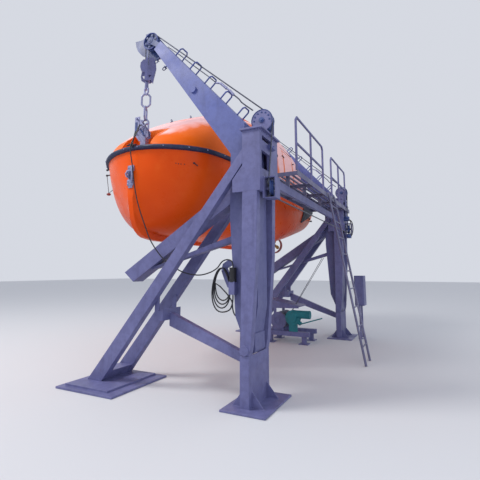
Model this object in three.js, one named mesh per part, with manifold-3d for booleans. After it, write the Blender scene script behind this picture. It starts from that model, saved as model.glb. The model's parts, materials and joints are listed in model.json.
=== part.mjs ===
// An enclosed lifeboat stowed in its pivoting gravity davit, at its real size.
// Millimetres. +X runs to the bow, +Y inboard over the deck (the boat's port side), +Z up from the deck.
// All places below are written in the deck frame: x = 0 midway between the two davit arms,
// y = 0 at the inboard face of the davit feet, z = 0 on the deck. The whole is moved by centreShift at the
// end, so that the origin lies on the deck under the middle of the assembly.
import * as THREE from 'three';
import { mergeVertices } from 'three/addons/utils/BufferGeometryUtils.js';
import Module from 'manifold-3d';

const wasm = await Module();
wasm.setup();

// Driving dimensions of the davit
const armPlane = 2770;
const frameHalf = 332;
const postThick = 110;
const gap = 0.3;
const pin = { y: -60, z: 714, r: 45, eye: 75 };
const foot = { out: -127, top: 650, plate: 25 };
const head = { out: -90, in: 170, bottom: 2750, top: 3600, cap: 26, wall: 45 };
const legs = { topZ: 3345, slope: 1.238, lowZ: 3145, lowSlope: 1.303 };
const armHalf = 160;
const fallY = -2099;
const headSheave = { y: -2012, z: 5680, r: 155, width: 70 };
const topSheave = { y: 95, z: 3816, r: 150, width: 90 };
const sideSheave = { x: 100, y: 253, z: 2806, r: 124, width: 50, turn: 0.26 };
const walk = { z: 3345, bow: 1617, stern: -2400, out: -680, in: 215, rail: 1000 };
const beam = { bottom: 3010, height: 140 };

// Driving dimensions of the boat, measured from its own keel line and centreline
const boat = { y: -2096, z: 2210, sheer: 1420, shell: 45 };
const propeller = { x: -3215, z: 270, r: 190 };
const nozzle = { x: -3230, inner: 215, outer: 250, half: 65, top: 570 };

const centreShift = { x: 0, y: 1207 };

// Finishes
const paint = (color, roughness = 0.5, metalness = 0) =>
  new THREE.MeshStandardMaterial({ color, roughness, metalness });
const finish = {
  davit: paint(0x6e7596, 0.45),
  grating: paint(0x7b8199, 0.6, 0.2),
  orange: paint(0xe0561a, 0.4),
  roof: paint(0xe8682c, 0.5),
  rubber: paint(0x1d2947, 0.75),
  steel: paint(0xb9bdc6, 0.35, 0.8),
  teal: paint(0x138a8e, 0.45),
  cable: paint(0x17181d, 0.7),
  glass: paint(0x39434d, 0.1),
  red: paint(0x9e2a20, 0.5),
  bronze: paint(0x9c6b35, 0.35, 0.8),
  inside: paint(0xd8d4c8, 0.7),
};

// Makes a closed geometry that holds places only, with its shared vertices merged
function bare(geometry) {
  const copy = geometry.clone();
  copy.deleteAttribute('normal');
  copy.deleteAttribute('uv');
  return mergeVertices(copy, 1e-3);
}

function solidOf(geometry) {
  const merged = bare(geometry);
  return new wasm.Manifold(new wasm.Mesh({
    numProp: 3,
    vertProperties: Float32Array.from(merged.attributes.position.array),
    triVerts: Uint32Array.from(merged.index.array),
  }));
}

function geometryOf(solid) {
  const mesh = solid.getMesh();
  const geometry = new THREE.BufferGeometry();
  geometry.setAttribute('position', new THREE.BufferAttribute(Float32Array.from(mesh.vertProperties), 3));
  geometry.setIndex(new THREE.BufferAttribute(Uint32Array.from(mesh.triVerts), 1));
  return geometry;
}

function joined(...parts) {
  return geometryOf(parts.map(solidOf).reduce((whole, part) => whole.add(part)));
}

function cut(body, ...tools) {
  return geometryOf(tools.map(solidOf).reduce((whole, tool) => whole.subtract(tool), solidOf(body)));
}

function common(body, other) {
  return geometryOf(solidOf(body).intersect(solidOf(other)));
}

// Basic shapes, each placed by its limits
function box(x, y, z) {
  const shape = new THREE.BoxGeometry(x[1] - x[0], y[1] - y[0], z[1] - z[0]);
  return shape.translate((x[0] + x[1]) / 2, (y[0] + y[1]) / 2, (z[0] + z[1]) / 2);
}

function outline(points) {
  return new THREE.Shape(points.map(([a, b]) => new THREE.Vector2(a, b)));
}

// A plate cut to a side view: points are [y, z], and it runs from x0 to x1
function sidePlate(points, x0, x1) {
  const shape = new THREE.ExtrudeGeometry(outline(points), { depth: x1 - x0, bevelEnabled: false });
  return shape.applyMatrix4(new THREE.Matrix4().makeBasis(
    new THREE.Vector3(0, 1, 0), new THREE.Vector3(0, 0, 1), new THREE.Vector3(1, 0, 0))).translate(x0, 0, 0);
}

// A plate cut to a front view: points are [x, z], and it runs from y0 to y1
function frontPlate(points, y0, y1) {
  const shape = new THREE.ExtrudeGeometry(outline(points), { depth: y1 - y0, bevelEnabled: false });
  return shape.rotateX(Math.PI / 2).translate(0, y1, 0);
}

// A round bar between two points
function bar(from, to, radius, sides = 12) {
  const a = new THREE.Vector3(...from);
  const b = new THREE.Vector3(...to);
  const shape = new THREE.CylinderGeometry(radius, radius, a.distanceTo(b), sides);
  const turn = new THREE.Quaternion().setFromUnitVectors(
    new THREE.Vector3(0, 1, 0), b.clone().sub(a).normalize());
  return shape.applyQuaternion(turn).translate(...a.add(b).multiplyScalar(0.5).toArray());
}

// A wheel that turns about the given axis, from a half profile of [radius, offset along the axis]
function wheel(profile, axis, sides = 24) {
  const points = [...profile, profile[0]].map(([r, h]) => new THREE.Vector2(r, h));
  if (THREE.ShapeUtils.isClockWise(points)) points.reverse();
  const shape = new THREE.LatheGeometry(points, sides);
  if (axis === 'x') shape.rotateZ(-Math.PI / 2);
  if (axis === 'z') shape.rotateX(Math.PI / 2);
  return shape;
}

// A tube along hand-chosen points
function tube(points, radius, sides, steps) {
  const path = new THREE.CatmullRomCurve3(points.map((p) => new THREE.Vector3(...p)), false, 'centripetal');
  const section = new THREE.Shape(Array.from({ length: sides }, (unused, i) => {
    const angle = (2 * Math.PI * i) / sides;
    return new THREE.Vector2(radius * Math.cos(angle), radius * Math.sin(angle));
  }));
  return new THREE.ExtrudeGeometry(section, { steps, bevelEnabled: false, extrudePath: path });
}

// A solid skinned over rings of points in space, closed by flat ends or run round into its own start
function skin(rings, endless = false) {
  const count = rings[0].length;
  const places = rings.flat(2);
  const faces = [];
  for (let r = 0; r < rings.length - (endless ? 0 : 1); r += 1) {
    const next = (r + 1) % rings.length;
    for (let i = 0; i < count; i += 1) {
      const j = (i + 1) % count;
      const [a, b, c, d] = [r * count + i, r * count + j, next * count + i, next * count + j];
      faces.push(a, b, d, a, d, c);
    }
  }
  const closeEnd = (r, flip) => {
    const middle = places.length / 3;
    const sum = rings[r].reduce((total, point) => total.map((v, k) => v + point[k]), [0, 0, 0]);
    places.push(...sum.map((v) => v / count));
    for (let i = 0; i < count; i += 1) {
      const a = r * count + i;
      const b = r * count + ((i + 1) % count);
      faces.push(middle, flip ? b : a, flip ? a : b);
    }
  };
  if (!endless) {
    closeEnd(0, true);
    closeEnd(rings.length - 1, false);
  }
  const geometry = new THREE.BufferGeometry();
  geometry.setAttribute('position', new THREE.Float32BufferAttribute(places, 3));
  geometry.setIndex(faces);
  return geometry;
}

// A skin over rings that each have their own x and are given as [y, z]
function loft(rings) {
  return skin(rings.map(({ x, points }) => points.map(([y, z]) => [x, y, z])));
}

// A bent rod with mitred corners through points that lie in one plane; normal is that plane's normal
function bentRod(points, radius, sides, normal, endless = false) {
  const places = points.map((p) => new THREE.Vector3(...p));
  const up = new THREE.Vector3(...normal).normalize();
  const count = places.length;
  const towards = (i, j) => places[j].clone().sub(places[i]).normalize();
  return skin(places.map((place, i) => {
    const before = i > 0 || endless ? towards((i + count - 1) % count, i) : towards(0, 1);
    const after = i < count - 1 || endless ? towards(i, (i + 1) % count) : before;
    const along = before.clone().add(after).normalize();
    const across = up.clone().cross(along).multiplyScalar(1 / along.dot(before));
    return Array.from({ length: sides }, (unused, k) => {
      const angle = (2 * Math.PI * k) / sides;
      return place.clone().addScaledVector(across, radius * Math.cos(angle))
        .addScaledVector(up, radius * Math.sin(angle)).toArray();
    });
  }), endless);
}

const root = new THREE.Group();
root.position.set(centreShift.x, centreShift.y, 0);

function add(parent, name, geometry, material) {
  const mesh = new THREE.Mesh(geometry, material);
  mesh.name = name;
  parent.add(mesh);
  return mesh;
}

// Fixed davit frame: foot, two posts, head, two raking legs, leg pad, brace. x is local to the arm plane.
const upperLeg = (y) => legs.topZ + (y - head.out) * legs.slope;
const lowerLeg = (y) => legs.lowZ + (y - head.out) * legs.lowSlope;
const upperLegAt = (z) => head.out + (z - legs.topZ) / legs.slope;
const lowerLegAt = (z) => head.out + (z - legs.lowZ) / legs.lowSlope;
const between = frameHalf - postThick - gap;
const postTop = head.bottom - gap;

function postOutline() {
  return [
    [foot.out, foot.top + gap], [0, foot.top + gap], [28, 780], [110, 1900], [125, postTop],
    [head.out, postTop], [foot.out, 1000],
  ];
}

// The post on the stern side carries the arm's pin
function makePost(side) {
  const outer = side * frameHalf;
  const inner = side * (frameHalf - postThick);
  const boss = { r: 62, sunk: 20, out: 22 };
  const plate = sidePlate(postOutline(), Math.min(outer, inner), Math.max(outer, inner));
  const cap = bar([outer - side * boss.sunk, pin.y, pin.z], [outer + side * boss.out, pin.y, pin.z], boss.r, 24);
  if (side > 0) return joined(plate, cap);
  const shaft = bar([outer, pin.y, pin.z], [frameHalf - postThick - gap, pin.y, pin.z], pin.r, 24);
  return joined(plate, cap, shaft);
}

function makeFoot() {
  const basePlate = box([-470, 470], [-340, 270], [0, foot.plate]);
  const eyeRoom = frameHalf - postThick;
  const ledge = { in: -14, depth: 65 };
  const block = cut(
    box([-frameHalf, frameHalf], [foot.out, 0], [foot.plate - 5, foot.top]),
    box([-eyeRoom, eyeRoom], [foot.out - 10, ledge.in], [foot.top - ledge.depth, foot.top + 10]),
  );
  const web = { x: 240, half: 8, low: foot.plate - 5, high: 230 };
  const toe = (x) => sidePlate([[-5, web.low], [170, web.low], [-5, web.high]], x - web.half, x + web.half);
  const heel = (x) => sidePlate([
    [foot.out + 5, web.low], [foot.out + 5, web.high], [foot.out - 150, web.low],
  ], x - web.half, x + web.half);
  return joined(basePlate, block, toe(-web.x), toe(web.x), heel(-web.x), heel(web.x));
}

function makeHead(lip) {
  const inward = head.in - head.wall;
  const shell = cut(
    box([-frameHalf, frameHalf], [head.out, head.in], [head.bottom, head.top]),
    box([-frameHalf + head.wall, frameHalf - head.wall], [head.out - 10, inward],
      [head.bottom - 10, head.top + 10]),
  );
  const slot = box([-84, 250], [inward - 10, head.in + 10], [3462, 3528]);
  const window = box([-22, 268], [inward - 10, head.in + 10], [3066, 3312]);
  const cap = box([-frameHalf - 4, frameHalf + 28], [head.out - 25, head.in + lip],
    [head.top - 1, head.top + head.cap]);
  const gusset = (x0, x1) => sidePlate([
    [head.out + 5, head.bottom], [head.out + 5, lowerLeg(head.out) - 25],
    [head.out - 150, lowerLeg(head.out - 150) - 25], [head.out - 150, head.bottom],
  ], x0, x1);
  const bearing = { in: 62, out: 80 };
  const seat = head.top + head.cap - 6;
  const disc = cut(
    bar([bearing.in, topSheave.y, topSheave.z], [bearing.out, topSheave.y, topSheave.z], topSheave.r + 14, 32),
    box([0, 200], [-400, 400], [topSheave.z - 400, seat]),
  );
  const bowCheek = joined(disc, sidePlate([
    [topSheave.y - 120, seat], [topSheave.y + 78, seat], [topSheave.y + 78, topSheave.z],
    [topSheave.y - 120, topSheave.z],
  ], bearing.in, bearing.out));
  const sternCheek = sidePlate([
    [topSheave.y - 60, seat], [topSheave.y + 127, seat], [topSheave.y + 127, topSheave.z + 10],
    [topSheave.y + 95, topSheave.z + 85], [topSheave.y, topSheave.z + 110], [topSheave.y - 75, topSheave.z + 60],
    [topSheave.y - 60, topSheave.z - 40],
  ], -bearing.out, -bearing.in);
  const axleR = 24;
  const axle = bar([-bearing.out - 10, topSheave.y, topSheave.z], [bearing.out + 10, topSheave.y, topSheave.z],
    axleR, 16);
  const channel = sideChannel();
  return joined(
    cut(shell, slot, window), cap,
    gusset(frameHalf - 30, frameHalf), gusset(-frameHalf, -frameHalf + 30),
    bowCheek, sternCheek, axle, ...channel,
  );
}

// Channel on the inboard face that carries the side sheave, open towards bow and stern
function sideChannel() {
  const { x, y, z, turn } = sideSheave;
  const wall = 14;
  const [stern, bow, back] = [x - 80, x + 95, x + 135];
  const [inner, outer] = [head.in + wall, y + 82];
  const [low, high] = [z - 146, z + 148];
  const reach = 78;
  const spindle = bar([x + reach * Math.sin(turn), y - reach * Math.cos(turn), z],
    [x - reach * Math.sin(turn), y + reach * Math.cos(turn), z], 24, 16);
  return [
    box([stern, back], [head.in - 5, inner], [low, high]),
    box([stern, bow], [outer - wall, outer], [low, high]),
    box([stern, bow], [head.in - 5, outer], [low, low + wall]),
    box([stern, bow], [head.in - 5, outer], [high - wall, high]),
    spindle,
  ];
}

const padTop = 60;
function makeLeg(side) {
  const [a, b] = [frameHalf, frameHalf - postThick].map((x) => side * x).sort((p, q) => p - q);
  const low = padTop + gap;
  const end = head.out - gap;
  return sidePlate([[end, upperLeg(end)], [upperLegAt(low), low], [lowerLegAt(low), low], [end, lowerLeg(end)]],
    a, b);
}

// The pad reaches further past the frame on its outer side, away from the boat's middle. A block between
// the two legs stands on it.
function makeLegPad(outward) {
  const span = (near, far) => [-near * outward, far * outward].sort((p, q) => p - q);
  const plate = box(span(470, 730), [-2950, -1850], [0, 30]);
  const doubler = box(span(400, 640), [-2860, -2020], [29, padTop]);
  const block = { low: padTop - 5, high: 200, inset: 10 };
  const tie = sidePlate([
    [upperLegAt(block.low) + block.inset, block.low], [lowerLegAt(block.low) - block.inset, block.low],
    [lowerLegAt(block.high) - block.inset, block.high], [upperLegAt(block.high) + block.inset, block.high],
  ], -between, between);
  return joined(plate, doubler, tie);
}

// The brace runs from the foot to a cross piece under the legs. Two small gusset plates tie the cross piece
// to the inner faces of the legs.
function makeBrace() {
  const half = 50;
  const start = foot.out - gap;
  const cross = { in: -1430, out: -1580, low: 985, topIn: 1155, topOut: 1090 };
  const high = (y) => 686 + (-387 - y) * 0.39;
  const low = (y) => 546 + (-386 - y) * 0.336;
  const strut = sidePlate([
    [start, low(start)], [start, foot.top - 5], [start - 40, high(start - 40)],
    [cross.in - 5, high(cross.in)], [cross.in - 5, low(cross.in)],
  ], -half, half);
  const crossPiece = sidePlate([
    [cross.out, cross.low], [cross.in, cross.low], [cross.in, cross.topIn], [cross.out, cross.topOut],
  ], -between, between);
  const tie = { plate: 30, width: 70, lap: 50 };
  const gusset = (x0, x1) => sidePlate([
    [cross.out, cross.low + 20], [cross.out + tie.width, cross.low + 20],
    [cross.out + tie.width, lowerLeg(cross.out + tie.width) + tie.lap], [cross.out, lowerLeg(cross.out) + tie.lap],
  ], x0, x1);
  return joined(strut, crossPiece, gusset(-between, tie.plate - between), gusset(between - tie.plate, between));
}

// Grooved wheel with a hub and a bore that clears its spindle
function makeSheave({ r, width }, axis) {
  const half = width / 2;
  const [bore, hub, hubFoot] = [26, 54, 60];
  const [dish, groove, sides] = [14, 22, 20];
  return wheel([
    [bore, -half], [bore, half], [hub, half], [hubFoot, half - dish], [r * 0.76, half - dish],
    [r * 0.8, half], [r, half], [r - groove, 0], [r, -half],
  ], axis, sides);
}

const frames = [
  { name: 'fore', side: 1 },
  { name: 'aft', side: -1 },
];

for (const { name, side } of frames) {
  const group = new THREE.Group();
  group.position.x = side * armPlane;
  root.add(group);
  add(group, `${name}_foot`, makeFoot(), finish.davit);
  add(group, `${name}_post_bow_side`, makePost(1), finish.davit);
  add(group, `${name}_post_stern_side`, makePost(-1), finish.davit);
  add(group, `${name}_head_box`, makeHead(side > 0 ? 40 : 5), finish.davit);
  add(group, `${name}_leg_bow_side`, makeLeg(1), finish.davit);
  add(group, `${name}_leg_stern_side`, makeLeg(-1), finish.davit);
  add(group, `${name}_leg_pad`, makeLegPad(side), finish.davit);
  add(group, `${name}_brace`, makeBrace(), finish.davit);
  add(group, `${name}_top_sheave`, makeSheave(topSheave, 'x').translate(0, topSheave.y, topSheave.z),
    finish.davit);
  add(group, `${name}_side_sheave`, makeSheave(sideSheave, 'y').rotateZ(sideSheave.turn)
    .translate(sideSheave.x, sideSheave.y, sideSheave.z), finish.davit);
}

// Gangway between the frames
const beamEnd = armPlane - frameHalf - gap;
add(root, 'gangway_beam', box([-beamEnd, beamEnd], [-62, 0], [beam.bottom, beam.bottom + beam.height]),
  finish.davit);

// Decking with long slots between its bars, edge channels and cross joists, on struts from the beam
function makePlatform() {
  const deep = [walk.z - 50, walk.z + 45];
  const channel = (y0, y1) => box([walk.stern, walk.bow], [y0, y1], deep);
  const floor = box([walk.stern, walk.bow], [walk.out, walk.in], [walk.z + 5, walk.z + 20]);
  const bays = 4;
  const slots = { rows: 8, first: 30, pitch: 104, width: 62, margin: 50 };
  const bayLength = (walk.bow - walk.stern) / bays;
  const cutters = Array.from({ length: bays * slots.rows }, (unused, i) => {
    const x = walk.stern + Math.floor(i / slots.rows) * bayLength;
    const y = walk.out + slots.first + (i % slots.rows) * slots.pitch;
    return box([x + slots.margin, x + bayLength - slots.margin], [y, y + slots.width], [walk.z, walk.z + 30]);
  });
  const joist = { half: 6, inset: 2 };
  const joists = Array.from({ length: bays + 1 }, (unused, i) => {
    const x = walk.stern + joist.half + (i * (walk.bow - walk.stern - 2 * joist.half)) / bays;
    return box([x - joist.half, x + joist.half], [walk.out + joist.inset, walk.in - joist.inset],
      [walk.z - 50, walk.z + 10]);
  });
  const struts = [-2000, -800, 400, 1400].map((x) =>
    box([x - 30, x + 30], [-60, -2], [beam.bottom + beam.height + gap, walk.z + 10]));
  const catwalk = box([-3108, walk.stern + 5], [head.in + 1, walk.in], deep);
  return joined(channel(walk.in - 12, walk.in), channel(walk.out, walk.out + 12), channel(-262, -250),
    cut(floor, ...cutters), ...joists, ...struts, catwalk);
}
add(root, 'gangway_platform', makePlatform(), finish.grating);

function makeRail(x0, x1) {
  const r = 21;
  const y = walk.in - 18;
  const base = walk.z + 45 + gap;
  const top = walk.z + walk.rail;
  const corner = 60;
  const middle = (x0 + x1) / 2;
  return joined(
    bentRod([[x0, y, base], [x0, y, top - corner], [x0 - corner, y, top], [x1 + corner, y, top],
      [x1, y, top - corner], [x1, y, base]], r, 10, [0, 1, 0]),
    bar([middle, y, base], [middle, y, top], r, 10),
    bar([x0, y, (base + top) / 2], [x1, y, (base + top) / 2], r, 10),
  );
}
add(root, 'gangway_rail_bow', makeRail(1590, -240), finish.davit);
add(root, 'gangway_rail_stern', makeRail(-1030, -2640), finish.davit);

// Loose ladder that leans on the gangway's edge
function makeLadder() {
  const feet = { bow: 170, stern: -330, y: 956 };
  const top = { bow: -500, stern: -1090, y: walk.in + 26, z: walk.z + 44 };
  const r = 22;
  const rungs = { count: 9, first: 0.09, pitch: 0.103, r: 14 };
  const left = [[feet.bow, feet.y, 4], [top.bow, top.y, top.z]];
  const right = [[feet.stern, feet.y, 4], [top.stern, top.y, top.z]];
  const at = (line, t) => line[0].map((v, i) => v + (line[1][i] - v) * t);
  const steps = Array.from({ length: rungs.count }, (unused, i) => {
    const t = rungs.first + i * rungs.pitch;
    return bar(at(left, t), at(right, t), rungs.r, 8);
  });
  const below = box([-2000, 2000], [0, 2000], [-100, 0]);
  return cut(joined(bar(...left, r), bar(...right, r), ...steps), below);
}
add(root, 'ladder', makeLadder(), finish.grating);

// Winch beside the stern frame, and the control cabinet
const winch = { x: -1650, y: -1275, z: 515, r: 130, flange: 200, half: 270, bearing: 300 };
const bed = { low: 170, top: 275, outboard: -1580, inboard: -515, leg: 50 };

// Two beams across the bed on four legs, a bearing plate on each beam, and a hood over the drum
function makeWinchBed() {
  const plate = 14;
  const beams = [-winch.bearing, winch.bearing].flatMap((d) => {
    const [x, half] = [winch.x + d, 60];
    const leg = (y) => box([x - bed.leg, x + bed.leg], [y, y + 2 * bed.leg], [0, bed.low + 5]);
    const sole = (y) => box([x - 110, x + 110], [y - 60, y + 2 * bed.leg + 60], [0, 20]);
    const feet = [bed.outboard + 40, bed.inboard - 180];
    return [box([x - half, x + half], [bed.outboard, bed.inboard], [bed.low, bed.top]),
      ...feet.map(leg), ...feet.map(sole)];
  });
  const sideOutline = [
    [winch.y - 190, bed.top - 10], [winch.y + 120, bed.top - 10], [winch.y + 120, winch.z],
    [winch.y + 60, winch.z + 110], [winch.y - 60, winch.z + 110], [winch.y - 130, winch.z],
  ];
  const along = [winch.x - winch.bearing - plate, winch.x + winch.bearing + plate];
  const hoodLine = [[-1560, 1000], [-760, 840], [-760, 860], [-1560, 1020]];
  const post = (x) => box([x - plate, x + plate], [winch.y - 125, winch.y - 60], [winch.z, 970]);
  const shaft = bar([along[0] - 16, winch.y, winch.z], [along[1] + 16, winch.y, winch.z], 32, 16);
  const rail = box(along, [bed.outboard, bed.outboard + 60], [bed.low, bed.top]);
  const ends = [-winch.bearing, winch.bearing].map((d) => winch.x + d)
    .flatMap((x) => [sidePlate(sideOutline, x - plate, x + plate), post(x)]);
  const apron = sidePlate([[-1440, 800], [-765, 815], [-765, 846], [-1440, 981]], along[1] - plate, along[1]);
  const ring = cut(
    bar([along[1] - 2, winch.y, winch.z], [along[1] + 22, winch.y, winch.z], winch.flange, 28),
    bar([along[1], winch.y, winch.z], [along[1] + 30, winch.y, winch.z], 100, 24),
  );
  return joined(...beams, rail, ...ends, shaft, sidePlate(hoodLine, ...along), apron, ring);
}
add(root, 'winch_bed', makeWinchBed(), finish.davit);

function makeDrum() {
  const { half, flange, r } = winch;
  const rim = 20;
  const split = 12;
  return wheel([
    [35, -half], [35, half], [flange, half], [flange, half - rim], [r, half - rim], [r, split],
    [flange, split], [flange, -split], [r, -split], [r, rim - half], [flange, rim - half], [flange, -half],
  ], 'x').translate(winch.x, winch.y, winch.z);
}
add(root, 'winch_drum', makeDrum(), finish.steel);

// Gear case beside the drum with its motor inboard of it, and the brake lever
function makeMotor() {
  const gear = { y: -892, z: 600, r: 176, x0: -1370, x1: -1240 };
  const motor = { x: -1300, y: -470, z: 680, r: 95 };
  const lever = { from: [-1300, -700, 462], to: [-1300, -189, 620], r: 14 };
  const feet = box([-1360, -1300], [-1000, -800], [bed.top + gap, 480]);
  return joined(
    bar([gear.x0, gear.y, gear.z], [gear.x1, gear.y, gear.z], gear.r, 28),
    bar([gear.x1 - 10, gear.y, gear.z], [gear.x1 + 30, gear.y, gear.z], gear.r * 0.6, 24),
    bar([motor.x, gear.y, motor.z], [motor.x, motor.y, motor.z], motor.r, 24),
    bar([motor.x, gear.y + 60, gear.z - 60], lever.from, 50, 12),
    bar(lever.from, lever.to, lever.r, 8),
    feet,
  );
}
add(root, 'winch_motor', makeMotor(), finish.teal);

const cabinet = { x0: -3060, x1: -2660, y0: 330, y1: 560, z0: 820, z1: 1580 };
function makeCabinet() {
  const body = box([cabinet.x0, cabinet.x1], [cabinet.y0, cabinet.y1], [cabinet.z0, cabinet.z1]);
  const stands = [cabinet.x0 + 40, cabinet.x1 - 40].flatMap((x) => [
    box([x - 20, x + 20], [420, 460], [0, cabinet.z0 + 10]),
    box([x - 60, x + 60], [380, 500], [0, 15]),
  ]);
  return joined(body, ...stands);
}
add(root, 'control_cabinet', makeCabinet(), finish.davit);
add(root, 'cabinet_door', box([cabinet.x1 + 0.5, cabinet.x1 + 18], [cabinet.y0 + 15, cabinet.y1 - 15],
  [cabinet.z0 + 20, cabinet.z1 - 20]), finish.davit);

// Swinging arms: tapered column and boom in one box, cradle beam with its strut, head sheave, fall block
const boom = { rise: 1.105, lowerRise: 1.387 };
const boomUpper = (y) => 4358 - (y + 648) * boom.rise;
const boomLower = (y) => 3361 - (y + 355) * boom.lowerRise;
const columnTop = { y: -362, z: 2410 };
const columnFoot = { y: -275, z: 1100 };
const columnOut = (z) =>
  columnFoot.y + ((z - columnFoot.z) * (columnTop.y - columnFoot.y)) / (columnTop.z - columnFoot.z);

function makeArm() {
  const tip = { upper: -1700, lower: -1830 };
  const profile = [
    [-20, 790], [52, 1250], [52, 3420], [-140, 3560], [-140, boomUpper(-140)],
    [tip.upper, boomUpper(tip.upper)], [tip.lower, boomLower(tip.lower)],
    [-355, boomLower(-355)], [columnTop.y, columnTop.z], [columnFoot.y, columnFoot.z], [-150, 800],
  ];
  const web = sidePlate(profile, -armHalf, armHalf);
  const eye = bar([-armHalf, pin.y, pin.z], [armHalf, pin.y, pin.z], pin.eye, 24);
  const lug = sidePlate([[-130, 720], [10, 720], [10, 900], [-170, 900]], -armHalf, armHalf);
  const bore = bar([-200, pin.y, pin.z], [200, pin.y, pin.z], pin.r + 3, 24);
  const boss = bar([armHalf - 5, -1016, 4492], [armHalf + 25, -1016, 4492], 52, 20);
  return joined(cut(joined(web, eye, lug), bore), boss, ...makeArmHead(), ...climbingRungs());
}

// Around the head sheave: a large cheek plate on the stern side with two tabs, and a narrow strap with the
// hub on the bow side, so that the sheave stays in view from the bow
function makeArmHead() {
  const { y, z } = headSheave;
  const cheek = sidePlate([
    [-1620, 5370], [-1700, 5505], [y + 112, z + 71], [y - 45, z + 206], [y - 105, z + 266], [y - 219, z + 259],
    [y - 200, z + 204], [y - 290, z + 170], [y - 450, z + 179], [y - 427, z + 65], [y - 379, z - 33],
    [y - 282, z - 138], [y - 7, z - 295], [y + 143, z - 309], [-1740, 5340],
  ], -90, -70);
  const tabs = [
    [[y - 105, z + 266], [y - 219, z + 259], [y - 212, z + 245], [y - 105, z + 250]],
    [[y - 290, z + 170], [y - 450, z + 179], [y - 448, z + 163], [y - 290, z + 154]],
  ].map((points) => sidePlate(points, -150, -75));
  const strap = sidePlate([
    [-1690, 5400], [-1700, 5490], [y + 20, z + 55], [y - 35, z + 45], [y - 48, z + 5], [y - 20, z - 48],
  ], 46, 60);
  const hub = bar([-90, y, z], [70, y, z], 24, 16);
  const cover = bar([46, y, z], [66, y, z], 52, 20);
  return [cheek, ...tabs, strap, hub, cover];
}

// U-shaped rungs that stand across the boom's upper face
function climbingRungs() {
  const step = { count: 5, first: -289, pitch: 284, height: 158, half: 92, bend: 30, r: 12, sunk: 8 };
  const length = Math.hypot(1, boom.rise);
  const normal = [boom.rise / length, 1 / length];
  return Array.from({ length: step.count }, (unused, i) => {
    const y = step.first - i * step.pitch;
    const point = (x, h) => [x, y + normal[0] * h, boomUpper(y) + normal[1] * h];
    const { half, height, bend, sunk } = step;
    return bentRod([
      point(-half, -sunk), point(-half, height - bend), point(bend - half, height),
      point(half - bend, height), point(half, height - bend), point(half, -sunk),
    ], step.r, 6, [0, 1, -boom.rise]);
  });
}

const cradle = {
  tip: [-2298, 1679], tipLow: [-2113, 1533], slope: 0.64, root: -364, strut: -349.5, half: 115, strutHalf: 60,
};
function makeCradle() {
  const upper = (y) => cradle.tip[1] + (y - cradle.tip[0]) * cradle.slope;
  const lower = (y) => cradle.tipLow[1] + (y - cradle.tipLow[0]) * cradle.slope;
  const main = sidePlate([
    cradle.tip, cradle.tipLow, [cradle.root, lower(cradle.root)], [cradle.root, upper(cradle.root)],
  ], -cradle.half, cradle.half);
  const strut = sidePlate([
    [-1828, 1712], [cradle.strut, 2112], [cradle.strut, 2203], [-1555, 1835], [-1780, 1760],
  ], -cradle.strutHalf, cradle.strutHalf);
  return joined(main, strut);
}

// One oval chain link, as a ring of bars, turned about the chain's own axis
const link = { half: 73, r: 13, length: 262 };
function makeLink(y, low, turn) {
  const { half, r, length } = link;
  const bend = 48;
  const across = [Math.sin(turn), Math.cos(turn)];
  const z0 = low + r;
  const z1 = low + length - r;
  const place = (s, z) => [s * across[0], y + s * across[1], z];
  return bentRod([
    place(-half, z0 + bend), place(-half, z1 - bend), place(-half * 0.55, z1 - bend * 0.2), place(0, z1),
    place(half * 0.55, z1 - bend * 0.2), place(half, z1 - bend), place(half, z0 + bend),
    place(half * 0.55, z0 + bend * 0.2), place(0, z0), place(-half * 0.55, z0 + bend * 0.2),
  ], r, 6, [Math.cos(turn), -Math.sin(turn), 0], true);
}

const chain = { top: 4742, overlap: 28, turns: [-0.46, 1.1, 0] };
const linkPitch = link.length - chain.overlap;
const chainLow = chain.top - link.length - 2 * linkPitch;

// The block hangs turned about the vertical, so that its cheeks face forward and inboard
function makeBlock() {
  const turn = 0.6;
  const front = 48;
  const frontOutline = [
    [-18, 5384], [-43, 5266], [-23, 5172], [-41, 5054], [-18, 4954], [29, 4960], [64, 4990], [111, 4905],
    [134, 5078], [160, 5172], [152, 5266], [111, 5390],
  ];
  const backOutline = [
    [-76, 5401], [-123, 5337], [-129, 5266], [-94, 5172], [-111, 5066], [-99, 4996], [-18, 4950], [60, 4960],
    [105, 5000], [140, 5172], [120, 5300], [60, 5401],
  ];
  const hole = (points) => sidePlate(points, -200, 200);
  const frontCheek = sidePlate(frontOutline, front - 9, front + 9);
  const backCheek = sidePlate(backOutline, -front - 9, 9 - front);
  const wheelDisc = bar([7 - front, 0, 5225], [front - 7, 0, 5225], 118, 28);
  const yoke = box([-front - 9, front + 9], [-30, 50], [4962, 4990]);
  const neck = bar([0, 0, 4810], [0, 0, 4975], 30, 12);
  const shackle = bentRod([
    [0, 0, 4860], [0, -38, 4820], [0, -38, 4760], [0, 0, 4722], [0, 38, 4760], [0, 38, 4820],
  ], 13, 6, [1, 0, 0], true);
  return joined(
    cut(joined(frontCheek, backCheek), hole([[-88, 5088], [-52, 5020], [-46, 5088]]),
      hole([[30, 5062], [36, 5005], [86, 5062]])).rotateZ(turn).translate(0, fallY, 0),
    joined(wheelDisc, yoke, neck).rotateZ(turn).translate(0, fallY, 0),
    shackle.translate(0, fallY, 0),
    ...chain.turns.map((angle, i) => makeLink(fallY, chain.top - link.length - i * linkPitch, angle)),
  );
}

for (const { name, side } of frames) {
  const group = new THREE.Group();
  group.position.x = side * armPlane;
  root.add(group);
  add(group, `${name}_arm`, makeArm(), finish.davit);
  add(group, `${name}_cradle_beam`, makeCradle(), finish.davit);
  add(group, `${name}_head_sheave`, makeSheave(headSheave, 'x').translate(0, headSheave.y, headSheave.z),
    finish.davit);
  add(group, `${name}_fall_block`, makeBlock(), finish.steel);
}

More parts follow.
